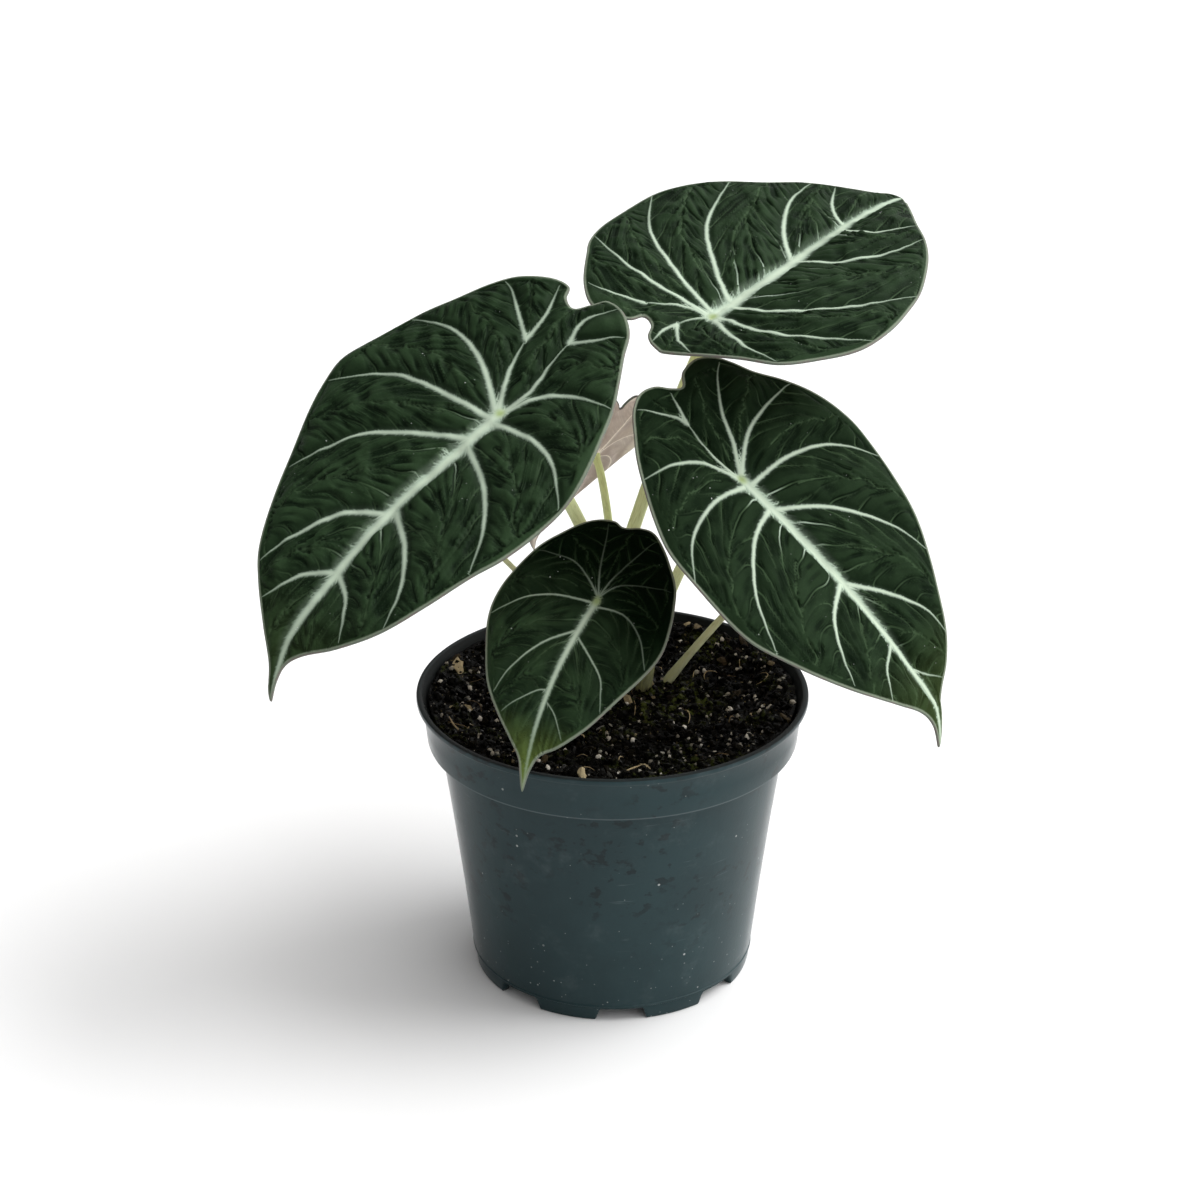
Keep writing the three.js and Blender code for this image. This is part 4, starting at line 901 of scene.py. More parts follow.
def bladeHeights(points, leaf, look, fields, panel, toMidrib, toSide, seed):
    # How high the two faces lie over the bent sheet: panels puffed up between the main veins, a quilt
    # between the lines of the net, uneven bulges, the cords of the main veins, and ribs underneath.
    far, half, margin, netFar, netDepth = (
        fields[key] for key in ("veinFar", "veinHalf", "margin", "netFar", "netDepth"))
    inner = smooth(0, leaf["length"] * blade["marginShare"], margin)
    panel = leaf["puff"] * panel * inner
    patchy = 0.95 + 0.9 * unevenHeights(points, blade["quiltPatches"], seed + 20)
    quilt = look["quilt"] * patchy * (1 - netDepth * bell(netFar, blade["quiltGroove"]))
    quilt = quilt * smooth(0, 2, margin) * smooth(0.2, 1.6, far - half)
    cord = blade["cord"] * np.clip(1 - (far / (half + 0.3)) ** 2, 0, 1) * smooth(0, 4, margin)
    bulge, bulgeHeight = blade["unevenness"]
    uneven = bulgeHeight * look["quilt"] / 0.6 * unevenHeights(points, bulge, seed) * inner
    midribWidth, sideWidth = blade["ribWidths"]
    ribs = leaf["rib"] * inner * np.maximum(
        bell(toMidrib, midribWidth), blade["sideRibShare"] * bell(toSide, sideWidth))
    netRib = blade["netRib"] * netDepth * bell(netFar, 0.5) * inner
    top = blade["thickness"] / 2 + panel + quilt + cord + uneven
    bottom = -blade["thickness"] / 2 + panel + uneven * 0.6 - ribs - netRib
    return top, bottom


def bladeShell(leaf, points, triangles, ringCount, outward, top, bottom):
    # Both faces of the bent blade and its rounded rim: vertices, faces and the material of each face.
    bend = makeBender(leaf)
    ring = points[:ringCount]
    rimRows = []
    for angle in (50, 0, -50):
        lift = np.full(ringCount, blade["thickness"] / 2 * math.sin(math.radians(angle)))
        bulge = blade["rimRound"] * math.cos(math.radians(angle))
        rimRows.append(bend(ring + outward * bulge, lift))
    vertices = np.vstack([bend(points, top), bend(points, bottom), *rimRows])
    count = len(points)
    starts = [0, *(2 * count + k * ringCount for k in range(len(rimRows))), count]
    rows = [start + np.arange(ringCount) for start in starts]
    rim = np.vstack([np.stack([upper, lower, np.roll(lower, -1), np.roll(upper, -1)], 1)
                     for upper, lower in zip(rows, rows[1:])])
    if turnOf(ring) < 0:
        rim = rim[:, ::-1]
    faces = triangles.tolist() + (triangles[:, ::-1] + count).tolist() + rim.tolist()
    return vertices, faces, [0] * len(triangles) + [1] * len(triangles) + [2] * len(rim)


def makeBlade(name, leaf, materials, seed):
    look = bladeLooks[name]
    outline, midrib, veins = drawBlade(leaf)
    edge = curveThrough(outline, blade["curveSteps"], True)
    midrib = curveThrough(midrib, blade["curveSteps"])
    veins = reachMargin(veins, edge)
    points, triangles, ringCount, outward = flatMesh(edge, look["spacing"])
    fields, panel, toMidrib, toSide = mainVeins(points, leaf, midrib, veins, look)
    fields |= netOf(points, leaf, midrib, wholeVeins(veins), look, seed)
    fields["margin"] = np.maximum(nearestOnPath(points, closed(edge))[0] - blade["rimRound"], 0)
    u, v = points.T / leaf["length"]
    # Painted shade: darker over the whole blade, towards its rear and on its side to the right, as the leaf's
    # look says.
    shade = look["shade"] + look["rearShade"] * (1 - smooth(-0.35, 0.45, v))
    fields["shade"] = np.clip(shade + look["sideShade"] * smooth(0, 0.3, -u), 0, 1)
    fields["tipGreen"] = look["tipGreen"] * smooth(0.62, 1.0, v)
    fields["flatU"], fields["flatV"] = points.T
    top, bottom = bladeHeights(points, leaf, look, fields, panel, toMidrib, toSide, seed)
    vertices, faces, materialOf = bladeShell(leaf, points, triangles, ringCount, outward, top, bottom)
    # The vertices are the points of the top, those of the underside and three rows round the rim.
    values = {key: np.concatenate([value, value, np.tile(value[:ringCount], 3)])
              for key, value in fields.items()}
    piece = makePiece(f"leafBlade_{name}", vertices, faces, materials, materialOf, values)
    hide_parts(f"blade_{name}")
    "young_blade" if name == "young" else "blade"
    print("leaf", name, len(faces), "faces")


# Leaves: the finishes

bladeColours = {
    "dark": (15, 27, 15),
    "green": (46, 65, 42),
    "young": (52, 84, 42),
    "vein": (162, 179, 161),
    "dimVein": (84, 101, 84),
    # The colour of the painted shade.
    "shade": (4, 14, 4),
    "tip": (104, 122, 58),
    "veinMiddle": (190, 205, 184),
    "joint": (150, 168, 116),
    "netVein": (88, 112, 80),
    "margin": (128, 138, 120),
    "rimGreen": (96, 104, 92),
    "rimBrown": (104, 99, 93),
    "dust": (200, 205, 200),
    "under": (224, 213, 202),
    "underDark": (172, 156, 147),
    "underVein": (250, 240, 226),
}


def veinMask(finish, feather):
    # 1 on the main veins, with soft edges that run out in short slanting streaks.
    side = abs(finish.attribute("veinSide"))
    distance = side.atLeast(finish.attribute("veinFar") - 0.45)
    half = finish.attribute("veinHalf")
    slant = finish.attribute("veinAlong") - distance * 0.8
    sign = finish.attribute("veinSide").steps(-0.1, 0.1)
    streak = finish.cloud(finish.point(slant, sign * 7 + distance * 0.15, half * 0.3), 1.7, 2.0, 0.65)
    streak = streak.steps(0.45, 0.8)
    reach = half * (0.82 + 0.36 * feather * streak) + 0.08 * feather * streak
    soft = half * 0.26 + 0.16
    return 1 - ((distance - reach) / soft).steps(-1.0, 1.0), distance, half


def netMask(finish, width):
    side = abs(finish.attribute("netSide"))
    distance = side.atLeast(finish.attribute("netFar") - 0.3)
    return 1 - distance.steps(width * 0.3, width), distance


def bladeTopFinish(name, ground):
    finish = Finish(name)
    flat = finish.onBlade(0.0)
    grain = finish.cloud(flat, 1.1, 3.0, 0.7)
    veins, distance, half = veinMask(finish, 1.0)
    small, netDistance = netMask(finish, 0.36)
    pale, shade, tipGreen = (finish.attribute(key) for key in ("pale", "shade", "tipGreen"))

    # Painted shade: the ground is darker in the crevices of the net and lighter on its crests. It is also
    # darker near the main veins.
    depth = finish.attribute("netDepth")
    crest = 1 - depth * (1 - netDistance.steps(0.2, 1.0)) * (distance - half).steps(0.0, 1.2)
    mottle = finish.cloud(flat, 0.13, 4.0, 0.6).steps(0.32, 0.7)
    light = mottle * 0.2 + crest * 0.8 + grain * 0.25 - 0.38
    light = light * (0.4 + finish.attribute("veinFar").steps(0.3, 6.0) * 0.6)
    colour = finish.mix(light.atMost(1.0).atLeast(0.0), bladeColours["dark"], ground)
    # Painted shade, where the shade attribute says.
    colour = finish.mix(shade, colour, bladeColours["shade"])
    colour = finish.mix(tipGreen * 0.7, colour, bladeColours["tip"])

    # The small veins, then the main ones: whiter in their middle, greener at the joint and at the tip.
    paleVein = finish.mix(pale, bladeColours["dimVein"], bladeColours["vein"])
    tone = finish.attribute("netTone")
    smallTone = finish.mix(tone.steps(0.25, 0.7), bladeColours["netVein"], paleVein)
    colour = finish.mix(small * tone, colour, smallTone)
    middle = finish.mix(pale, paleVein, bladeColours["veinMiddle"])
    veinTone = finish.mix((distance / half).steps(0.1, 0.9), middle, paleVein)
    toJoint = finish.vector("LENGTH", [flat], 1)
    veinTone = finish.mix(1 - toJoint.steps(0.2, 2.6), veinTone, bladeColours["joint"])
    veinTone = finish.mix(tipGreen * 0.5, veinTone, bladeColours["tip"])
    # The painted shade darkens the main veins too.
    veinTone = finish.mix(shade * shade * 0.8, veinTone, bladeColours["shade"])
    halo = 1 - ((distance - half) / (half * 0.5 + 0.5)).steps(0.0, 1.8)
    colour = finish.mix(halo * halo * half.steps(0.4, 2.0) * (0.05 + grain * 0.3), colour, veinTone)
    colour = finish.mix(veins * (0.8 + half.steps(0.2, 1.2) * 0.16), colour, veinTone)

    edge = 1 - (finish.attribute("margin") + grain * 0.25).steps(0.3, 0.85)
    colour = finish.mix(edge * 0.7, colour, bladeColours["margin"])
    dust = finish.specks(flat, 0.7, 0.16, 0.22) * finish.cloud(flat, 0.09, 2.0).steps(0.55, 0.7)
    colour = finish.mix(dust * 0.7, colour, bladeColours["dust"])
    finish.set({
        "Base Color": colour,
        "Roughness": 0.42 + grain * 0.14 + shade * 0.5,
        "Specular IOR Level": 0.025,
        "Normal": finish.bump(grain * 0.6 + finish.cloud(flat, 3.2, 2.0) * 0.4 + crest * 1.8, 0.75, 0.22),
    })
    return finish.material


def bladeUnderFinish():
    finish = Finish("bladeUnderside")
    flat = finish.onBlade(3.0)
    mottle = finish.cloud(flat, 0.12, 3.0)
    veins, _, _ = veinMask(finish, 0.3)
    small, netDistance = netMask(finish, 0.45)
    light = mottle.steps(0.35, 0.65) * 0.55 + netDistance.steps(0.3, 1.4) * 0.45
    colour = finish.mix(light, bladeColours["underDark"], bladeColours["under"])
    colour = finish.mix(small * 0.35, colour, bladeColours["underDark"])
    colour = finish.mix(veins * 0.9, colour, bladeColours["underVein"])
    finish.set({
        "Base Color": colour,
        "Roughness": 0.6,
        "Specular IOR Level": 0.2,
        # Painted light: a faint glow in the underside's own colour lightens it.
        "Emission Color": colour,
        "Emission Strength": 0.07,
        "Normal": finish.bump(finish.cloud(flat, 1.6, 3.0), 0.3, 0.1),
    })
    return finish.material


def marginFinish():
    finish = Finish("bladeMargin")
    tone = finish.cloud(finish.onBlade(5.0), 0.3, 2.0)
    colour = finish.mix(tone.steps(0.4, 0.65), bladeColours["rimGreen"], bladeColours["rimBrown"])
    finish.set({"Base Color": colour, "Roughness": 0.5, "Specular IOR Level": 0.15})
    return finish.material


# Stalks

stalkLook = {
    "sides": 22,
    "rings": 90,
    "buriedRings": (1, 0.66, 0.33),     # shares of the stalk's depth in the soil
    "sheathFlare": 1.25,                # how much thicker the stalk is at its foot
    "seatGap": 0.3,                     # mm that the solid stalk ends under its blade
    "sunkIn": 0.7,                      # mm that this one runs on into the blade
    "topFlare": 0.55,                   # extra radius where the stalk runs into the blade
    "grooveDepth": 0.16,                # share of the radius, on the side towards the blade's tip
    # From the foot to the blade.
    "colours": [(0.0, (92, 88, 64)), (0.12, (126, 132, 98)), (0.4, (212, 221, 170)), (1.0, (212, 223, 158))],
    "streak": (166, 172, 108),
    "blotch": (96, 84, 60),
    "tan": (182, 184, 150),
    "tanLeaves": ("behind_right", "young"),
}
soilEdgeHeight = 86.1                   # mm above the table


def stalkCurve(leaf):
    # The middle of the stalk, from its buried foot to just inside the blade, and the way to the blade's tip.
    stalk = leaf["stalk"]
    bend = makeBender(leaf)
    joint = np.array([[0.0, 0.0]])
    seat = bend(joint, [-blade["thickness"] / 2 - leaf["rib"] - stalkLook["seatGap"]])[0]
    normal = bend(joint, [1.0])[0] - bend(joint, [0.0])[0]
    base = np.array([*stalk["base"], soilEdgeHeight])
    lean = np.array([*stalk["lean"], 1.0])
    lean /= np.linalg.norm(lean)
    onward = bend(np.array([[0.0, 1.0]]), [0.0])[0] - bend(np.array([[0.0, -1.0]]), [0.0])[0]
    arrival = normal + onward / np.linalg.norm(onward) * stalk["tilt"]
    arrival /= np.linalg.norm(arrival)
    handles = [base + lean * stalk["handles"][0], seat - arrival * stalk["handles"][1]]
    t = np.linspace(0, 1, stalkLook["rings"])[:, None]
    curve = (base * (1 - t) ** 3 + 3 * handles[0] * t * (1 - t) ** 2 + 3 * handles[1] * t ** 2 * (1 - t)
             + seat * t ** 3)
    buried = [base - lean * stalk["depth"] * share for share in stalkLook["buriedRings"]]
    tip = seat + arrival * (stalkLook["seatGap"] + stalkLook["sunkIn"])
    return np.vstack([buried, curve, [tip]]), onward


def makeStalk(name, leaf, material, seed):
    points, onward = stalkCurve(leaf)
    count, sides = len(points), stalkLook["sides"]
    baseRadius, topRadius = leaf["stalk"]["radius"]
    travel = lengthsAlong(points)
    ground = travel[len(stalkLook["buriedRings"])]
    share = np.clip((travel - ground) / (travel[-1] - ground), 0, 1)
    radius = baseRadius + (topRadius - baseRadius) * share
    radius *= 1 + (stalkLook["sheathFlare"] - 1) * (1 - smooth(0.04, 0.24, share))
    radius *= 1 + stalkLook["topFlare"] * smooth(travel[-1] - 3.5, travel[-1], travel) ** 2
    side = np.array([1.0, 0, 0])
    vertices = []
    angles = anglesRound(sides)
    for i in range(count):
        along = points[min(i + 1, count - 1)] - points[max(i - 1, 0)]
        along /= np.linalg.norm(along)
        side = side - along * (side @ along)
        side /= np.linalg.norm(side)
        other = np.cross(along, side)
        front = math.atan2(onward @ other, onward @ side)
        groove = 1 - stalkLook["grooveDepth"] * bell((angles - front + np.pi) % (2 * np.pi) - np.pi, 0.5)
        bumps = 1 + 0.025 * np.sin(3 * angles + seed + 0.05 * travel[i]) + 0.012 * np.sin(7 * angles + seed)
        ring = (radius[i] * groove * bumps)[:, None]
        way = np.cos(angles)[:, None] * side + np.sin(angles)[:, None] * other
        vertices.append(points[i] + ring * way)
    values = {
        "share": np.repeat(share, sides), "travel": np.repeat(travel, sides), "round": np.tile(angles, count),
        "tan": np.full(count * sides, float(name in stalkLook["tanLeaves"])),
    }
    faces = tubeFaces(count, sides)
    piece = makePiece(f"leafStalk_{name}", np.vstack(vertices), faces, [material], None, values)
    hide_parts(f"petiole_{name}")


def stalkFinish():
    finish = Finish("stalkSkin")
    share = finish.attribute("share")
    ring = finish.attribute("round")
    travel = finish.attribute("travel") * 0.05
    skin = finish.point(ring.maths("COSINE", ring), ring.maths("SINE", ring), travel)
    streak = finish.cloud(skin, 6.0, 3.0, 0.6)
    blotch = finish.cloud(finish.place(), 260.0, 3.0)
    colour = finish.ramp(share, stalkLook["colours"])
    colour = finish.mix(finish.attribute("tan") * 0.7, colour, stalkLook["tan"])
    colour = finish.mix(streak.steps(0.42, 0.7) * 0.45, colour, stalkLook["streak"])
    colour = finish.mix(blotch.steps(0.55, 0.75) * (0.5 - share * 0.35), colour, stalkLook["blotch"])
    finish.set({
        "Base Color": colour,
        "Roughness": 0.42 + streak * 0.15,
        "Specular IOR Level": 0.25,
        "Normal": finish.bump(streak, 0.35, 0.15),
    })
    return finish.material


# Crown

crownLook = {
    "centre": (-1.0, 16.0),
    "radius": 3.3,
    "bottom": 74.2,
    "top": 91.3,
    "dome": 2.6,                        # height of its rounded top
    "sides": 40,
    "rings": 46,
    "colours": [(0.3, (52, 42, 28)), (0.55, (98, 92, 58)), (0.75, (120, 116, 76))],
    "blotch": (66, 50, 34),
}


def makeCrown(material):
    # A short stump with ring scars and a rounded top.
    sides, rings, dome = crownLook["sides"], crownLook["rings"], crownLook["dome"]
    angles = anglesRound(sides)
    vertices = []
    for z in np.linspace(crownLook["bottom"], crownLook["top"], rings):
        roundTop = math.sqrt(max(0.0, 1 - max(0.0, (z - crownLook["top"] + dome) / dome) ** 2))
        scar = 1 - 0.07 * abs(math.sin(z * 2.4)) ** 6
        rough = np.array([noise.noise((2 * math.cos(a), 2 * math.sin(a), z * 0.6)) for a in angles])
        radius = crownLook["radius"] * (0.12 + 0.86 * roundTop) * scar * (1 - 0.09 * (0.5 + rough))
        x, y = crownLook["centre"]
        vertices.append(np.stack([x + radius * np.cos(angles), y + radius * np.sin(angles),
                                  np.full(sides, z)], 1))
    piece = makePiece("crownStump", np.vstack(vertices), tubeFaces(rings, sides), [material])
    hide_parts("crown")


def crownFinish():
    finish = Finish("crownBark")
    place = finish.place()
    rings = finish.cloud(place, (120, 120, 900), 3.0)
    blotch = finish.cloud(place, 500.0, 3.0)
    colour = finish.ramp(rings, crownLook["colours"])
    colour = finish.mix(blotch.steps(0.5, 0.7) * 0.5, colour, crownLook["blotch"])
    finish.set({
        "Base Color": colour,
        "Roughness": 0.75,
        "Specular IOR Level": 0.25,
        "Normal": finish.bump(rings + blotch, 0.5, 0.4),
    })
    return finish.material


# Pot

pot = {
    "height": 91.8, "rimRadius": 60.0, "lipHeight": 1.9, "lipWidth": 1.9,
    "bandHeight": 14.8, "bandTopRadius": 58.0, "bandBottomRadius": 56.9,
    "bodyTopRadius": 53.0, "baseRadius": 43.1, "wall": 1.3,
    "floorBottom": 4.2, "floorTop": 5.8, "footWidth": 2.3,
    "notches": 8, "firstNotch": -86.4, "notchBottomWidth": 16.0, "notchTopWidth": 13.0, "notchHeight": 3.9,
    "columns": 240,
    "body": (24, 43, 46),
    "bodyLight": (33, 54, 57),
    "smudge": (12, 20, 22),
    "dust": (168, 172, 170),
    "scuff": (96, 106, 108),
    "grimeAndShade": (12, 11, 10),
}


def potProfile():
    # Radius and height from the middle of the underside, up the outside and down the inside.
    base, body, under, band, rim = (pot[key] for key in (
        "baseRadius", "bodyTopRadius", "bandBottomRadius", "bandTopRadius", "rimRadius"))
    wall, floor = pot["wall"], pot["floorBottom"]
    top = pot["height"]
    bandBottom, lipBottom = top - pot["bandHeight"], top - pot["lipHeight"]
    lip = rim - pot["lipWidth"]
    foot = [
        (0, floor), (base - 6, floor), (base - pot["footWidth"] - 0.3, floor),
        (base - pot["footWidth"], floor - 0.25),
    ]
    outside = [
        (base + 0.2, 0.8), (base + 0.45, 3.0), (base + 0.56, pot["notchHeight"] + 0.2), (base + 0.6, 4.7),
        (base + 0.92, 4.95), (base + 0.95, 5.35), (base + 0.76, 5.6), (base + 1.1, 8.0), (base + 3.4, 28.0),
        (base + 6.2, 50.0), (body - 0.35, bandBottom - 3.2), (body, bandBottom - 0.6),
        (body + 0.25, bandBottom - 0.2), (body + 0.7, bandBottom), (under - 0.6, bandBottom),
        (under - 0.15, bandBottom + 0.15), (under, bandBottom + 0.6), (band - 0.5, bandBottom + 6.0),
        (band, lipBottom - 0.8), (band + 0.25, lipBottom - 0.35), (rim - 0.75, lipBottom),
        (rim - 0.25, lipBottom + 0.12), (rim, lipBottom + 0.5), (rim, top - 0.5), (rim - 0.15, top - 0.15),
        (rim - 0.5, top), (lip + 0.5, top), (lip + 0.15, top - 0.15), (lip, top - 0.6),
    ]
    inside = [
        (band - wall - 0.1, lipBottom - 1.3), (under - wall, bandBottom + 1.4),
        (body - wall + 0.1, bandBottom - 1.2), (base - 0.5, pot["floorTop"] + 0.4),
        (base - 1.2, pot["floorTop"]), (0, pot["floorTop"]),
    ]
    return foot, outside, inside


def notchLift(angle):
    # Height of the foot's lower edge at an angle in degrees: raised in the notches.
    spacing = 360 / pot["notches"]
    off = abs((angle - pot["firstNotch"] + spacing / 2) % spacing - spacing / 2)
    across = math.radians(off) * pot["baseRadius"]
    low, high = pot["notchBottomWidth"] / 2, pot["notchTopWidth"] / 2
    return pot["notchHeight"] * min(1, max(0, (low - across) / (low - high)))


def potColumns():
    # Angles in degrees of even columns, with extra ones at the corners of the notches.
    even = np.arange(pot["columns"]) * 360 / pot["columns"]
    corners = []
    for i in range(pot["notches"]):
        middle = pot["firstNotch"] + i * 360 / pot["notches"]
        for width in (pot["notchBottomWidth"], pot["notchTopWidth"]):
            half = math.degrees(width / 2 / pot["baseRadius"])
            corners += [middle + side * half + step for side in (1, -1) for step in (-0.12, 0.12)]
    corners = np.array(corners) % 360
    even = even[[np.min(np.abs(corners - a)) > 0.5 for a in even]]
    return np.sort(np.concatenate([even, corners]))


def makePot(material):
    foot, outside, inside = potProfile()
    columns = potColumns()
    outerFoot, innerFoot = pot["baseRadius"], pot["baseRadius"] - pot["footWidth"]
    rows = []
    for angle in columns:
        lift = notchLift(angle)
        sole = [(innerFoot, lift + 0.25), (innerFoot + 0.2, lift), (outerFoot - 0.35, lift),
                (outerFoot, lift + 0.22)]
        outer = [(r, max(z, lift + 0.3 + 0.02 * k)) for k, (r, z) in enumerate(outside)]
        profile = np.array(foot[1:] + sole + outer + inside[:-1])
        way = np.array([math.cos(math.radians(angle)), math.sin(math.radians(angle))])
        rows.append(np.column_stack([profile[:, :1] * way, profile[:, 1]]))
    count, total = len(rows[0]), len(columns)
    vertices = np.vstack([*rows, [[0, 0, pot["floorBottom"]], [0, 0, pot["floorTop"]]]])
    bottomCentre, topCentre = total * count, total * count + 1
    faces = []
    for i in range(total):
        here, there = i * count, (i + 1) % total * count
        faces.append([bottomCentre, there, here])
        faces.append([topCentre, here + count - 1, there + count - 1])
        faces += [[here + k, there + k, there + k + 1, here + k + 1] for k in range(count - 1)]
    # The inside is grimy and in painted shade, and so are the last rows of the outside, on the lip.
    lastOutside = len(foot) + len(sole) + len(outside) - 2
    inner = np.zeros((total, count))
    inner[:, lastOutside - 4:] = 0.55
    inner[:, lastOutside - 1:] = 1
    values = {"inner": np.concatenate([inner.ravel(), [0, 1]])}
    piece = makePiece("potShell", vertices, faces, [material], None, values)
    piece.data.set_sharp_from_angle(angle=math.radians(38))
    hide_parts("pot")


def potFinish():
    # Dusty plastic: dark smudges, light scuffs and specks, mostly near the foot; a painted highlight on the
    # band's lower edge; grimy inside, with painted shade.
    finish = Finish("potPlastic")
    place = finish.place()
    height = finish.node("ShaderNodeSeparateXYZ", {}, {"Vector": place}, 2) * 1000
    cloud = finish.cloud(place, 32.0, 4.0)
    fine = finish.cloud(place, 900.0, 3.0, 0.6)
    grit = finish.cloud(place, 2600.0, 2.0)
    colour = finish.mix(cloud.steps(0.35, 0.7) * 0.6 + fine * 0.25, pot["body"], pot["bodyLight"])
    smudge = finish.cloud(place, (210, 210, 280), 3.0, 0.55).steps(0.555, 0.64)
    patch = finish.cloud(place, 26.0, 2.0).steps(0.4, 0.56) * height.steps(18.0, 40.0)
    colour = finish.mix(smudge * patch * (0.4 + fine * 0.5), colour, pot["smudge"])
    haze = finish.cloud(place, 60.0, 4.0, 0.7).steps(0.52, 0.8)
    colour = finish.mix(haze * fine * 0.4, colour, pot["scuff"])
    bandBottom = pot["height"] - pot["bandHeight"]
    # Painted highlight: a thin light line along the lower edge of the band.
    paintedEdgeHighlight = 1 - abs(height - bandBottom - 0.35).steps(0.15, 0.4)
    scratch = finish.cloud(place, (60, 60, 900), 3.0, 0.6).steps(0.62, 0.72)
    scratch = scratch * finish.cloud(place, 70.0, 2.0).steps(0.5, 0.62)
    colour = finish.mix((paintedEdgeHighlight * 0.35 + scratch * 0.3).atMost(1.0), colour, pot["scuff"])
    big = finish.specks(place, 260.0, 0.12, 0.22) * finish.cloud(place, 40.0, 2.0).steps(0.42, 0.6)
    small = finish.specks(place, 620.0, 0.13, 0.1)
    low = finish.specks(place, 430.0, 0.15, 0.42) * (1 - height.steps(3.0, 30.0))
    dust = (big + small * 0.5 + low * 0.8).atMost(1.0)
    colour = finish.mix(dust * 0.75, colour, pot["dust"])
    inner = finish.attribute("inner").steps(0.1, 0.7)
    # Dirt and painted shade darken the inside and the lip's top.
    colour = finish.mix(inner * (0.75 + fine * 0.2), colour, pot["grimeAndShade"])
    glancing = finish.node("ShaderNodeLayerWeight", {}, {"Blend": 0.5}, 1)
    finish.set({
        "Base Color": colour,
        "Roughness": 0.29 + cloud * 0.08 + haze * 0.12 + dust * 0.3 + inner * 0.35,
        "Specular IOR Level": 0.2,
        "Coat Weight": glancing.steps(0.7, 1.0) * 0.6,
        "Coat Roughness": 0.22,
        "Normal": finish.bump(fine * 0.7 + grit * 0.3 + cloud * 2, 0.25, 0.12),
    })
    return finish.material


# Soil

soilLook = {
    "mound": 1.0,                       # mm that the middle is higher than the edge
    "roughness": 1.2,                   # mm, height of its bumps
    "lumpLayers": [(0.3, 1.0, 0.8), (0.9, 5.0, 0.5), (2.6, 9.0, 0.25)],     # scale, layer and height in mm
    "bank": (41.0, 55.0, 3.7),          # from where to where the soil rises to the wall, and how much
    "gap": 0.42,                        # mm between the soil and the pot
    "rings": 120,
    "columns": 300,
    "mossColour": (70, 78, 32),
    # The middle of each mossy place, and how far round it the moss grows densely and at all.
    "moss": [((19.0, -1.0, 87.0), 6.0, 19.0), ((31.0, 36.0, 88.0), 3.0, 13.0)],
}
soilTopRadius = pot["bandTopRadius"] - pot["wall"] - soilLook["gap"] + 0.02
# Grains and chips that are clearly seen: x, y and radius in mm.
seenGrains = [
    (-53, 21, 0.6), (-50, 17, 0.7), (-44, 18, 0.8), (-42, 19, 0.8), (-53, 7, 0.8), (-51, 2, 0.5),
    (-44, 8, 0.8), (-46, -4, 0.6), (-40, -12, 0.9), (-43, -18, 0.7), (-33, -28, 0.6), (-19, -49, 0.7),
    (22, 42, 0.6), (35, 39, 0.8), (29, 27, 0.6), (42, 6, 0.8), (25, 7, 0.7), (36, -4, 0.8),
    (38, -10, 0.8), (46, -4, 0.7), (45, -9, 1.2), (21, -10, 0.6), (55, -6, 0.9), (35, -24, 0.7),
    (26, -25, 0.6), (40, -28, 1.0),
]
seenChips = [
    (-48, 19, 1.7), (-49, 24, 1.2), (24, 50, 1.3), (28, 47, 1.8), (52, -17, 1.0), (18, 2, 1.1),
    (12, 11, 1.0), (-9, -54, 1.3), (40, 32, 1.4), (42, 35, 1.2), (37, 38, 1.1),
]
# What is strewn over the soil, in this order. sizes are radii in mm; divisions says how round a lump is,
# stretch and flat how long and how thin it gets, sunk how much of it is buried, jitter how rough it is, and
# tones which part of its finish's colours it has. The seen ones come first and lie where they are seen.
lumpKinds = {
    "soilCrumbs": {
        "finish": "soilEarth", "count": 3600, "divisions": 0, "sizes": (0.35, 1.5), "stretch": 1.5,
        "flat": 0.7, "sunk": 0.42, "jitter": 0.16, "tones": (0.05, 0.75), "isSmooth": False, "seen": [],
    },
    "soilGrit": {
        "finish": "soilEarth", "count": 5200, "divisions": 0, "sizes": (0.18, 0.5), "stretch": 1.3,
        "flat": 0.8, "sunk": 0.3, "jitter": 0.15, "tones": (0.0, 1.0), "isSmooth": False, "seen": [],
    },
    "soilPerlite": {
        "finish": "perliteGrain", "count": 420, "divisions": 1, "sizes": (0.14, 0.85), "stretch": 1.4,
        "flat": 0.7, "sunk": 0.3, "jitter": 0.14, "tones": (0.2, 1.0), "isSmooth": True, "seen": seenGrains,
    },
    # Dark grit flecks; the lighter ones are painted glints.
    "soilFlecks": {
        "finish": "fleckAndPaintedGlint", "count": 760, "divisions": 0, "sizes": (0.25, 0.75), "stretch": 2.8,
        "flat": 0.4, "sunk": 0.25, "jitter": 0.14, "tones": (0.0, 1.0), "isSmooth": False, "seen": [],
    },
    "soilBark": {
        "finish": "barkChip", "count": 84, "divisions": 1, "sizes": (0.45, 1.4), "stretch": 2.4,
        "flat": 0.25, "sunk": 0.3, "jitter": 0.2, "tones": (0.0, 0.9), "isSmooth": False, "seen": seenChips,
    },
}
fibreLook = {
    "count": 40,
    "steps": 10,
    "sides": 5,
    "seenRadius": 0.26,                 # mm
    "seen": [
        [(-49.4, -15.0), (-47.5, -21.5), (-43.5, -28.7)],
        [(2.0, -50.8), (6.0, -47.0), (10.3, -43.4)],
    ],
}
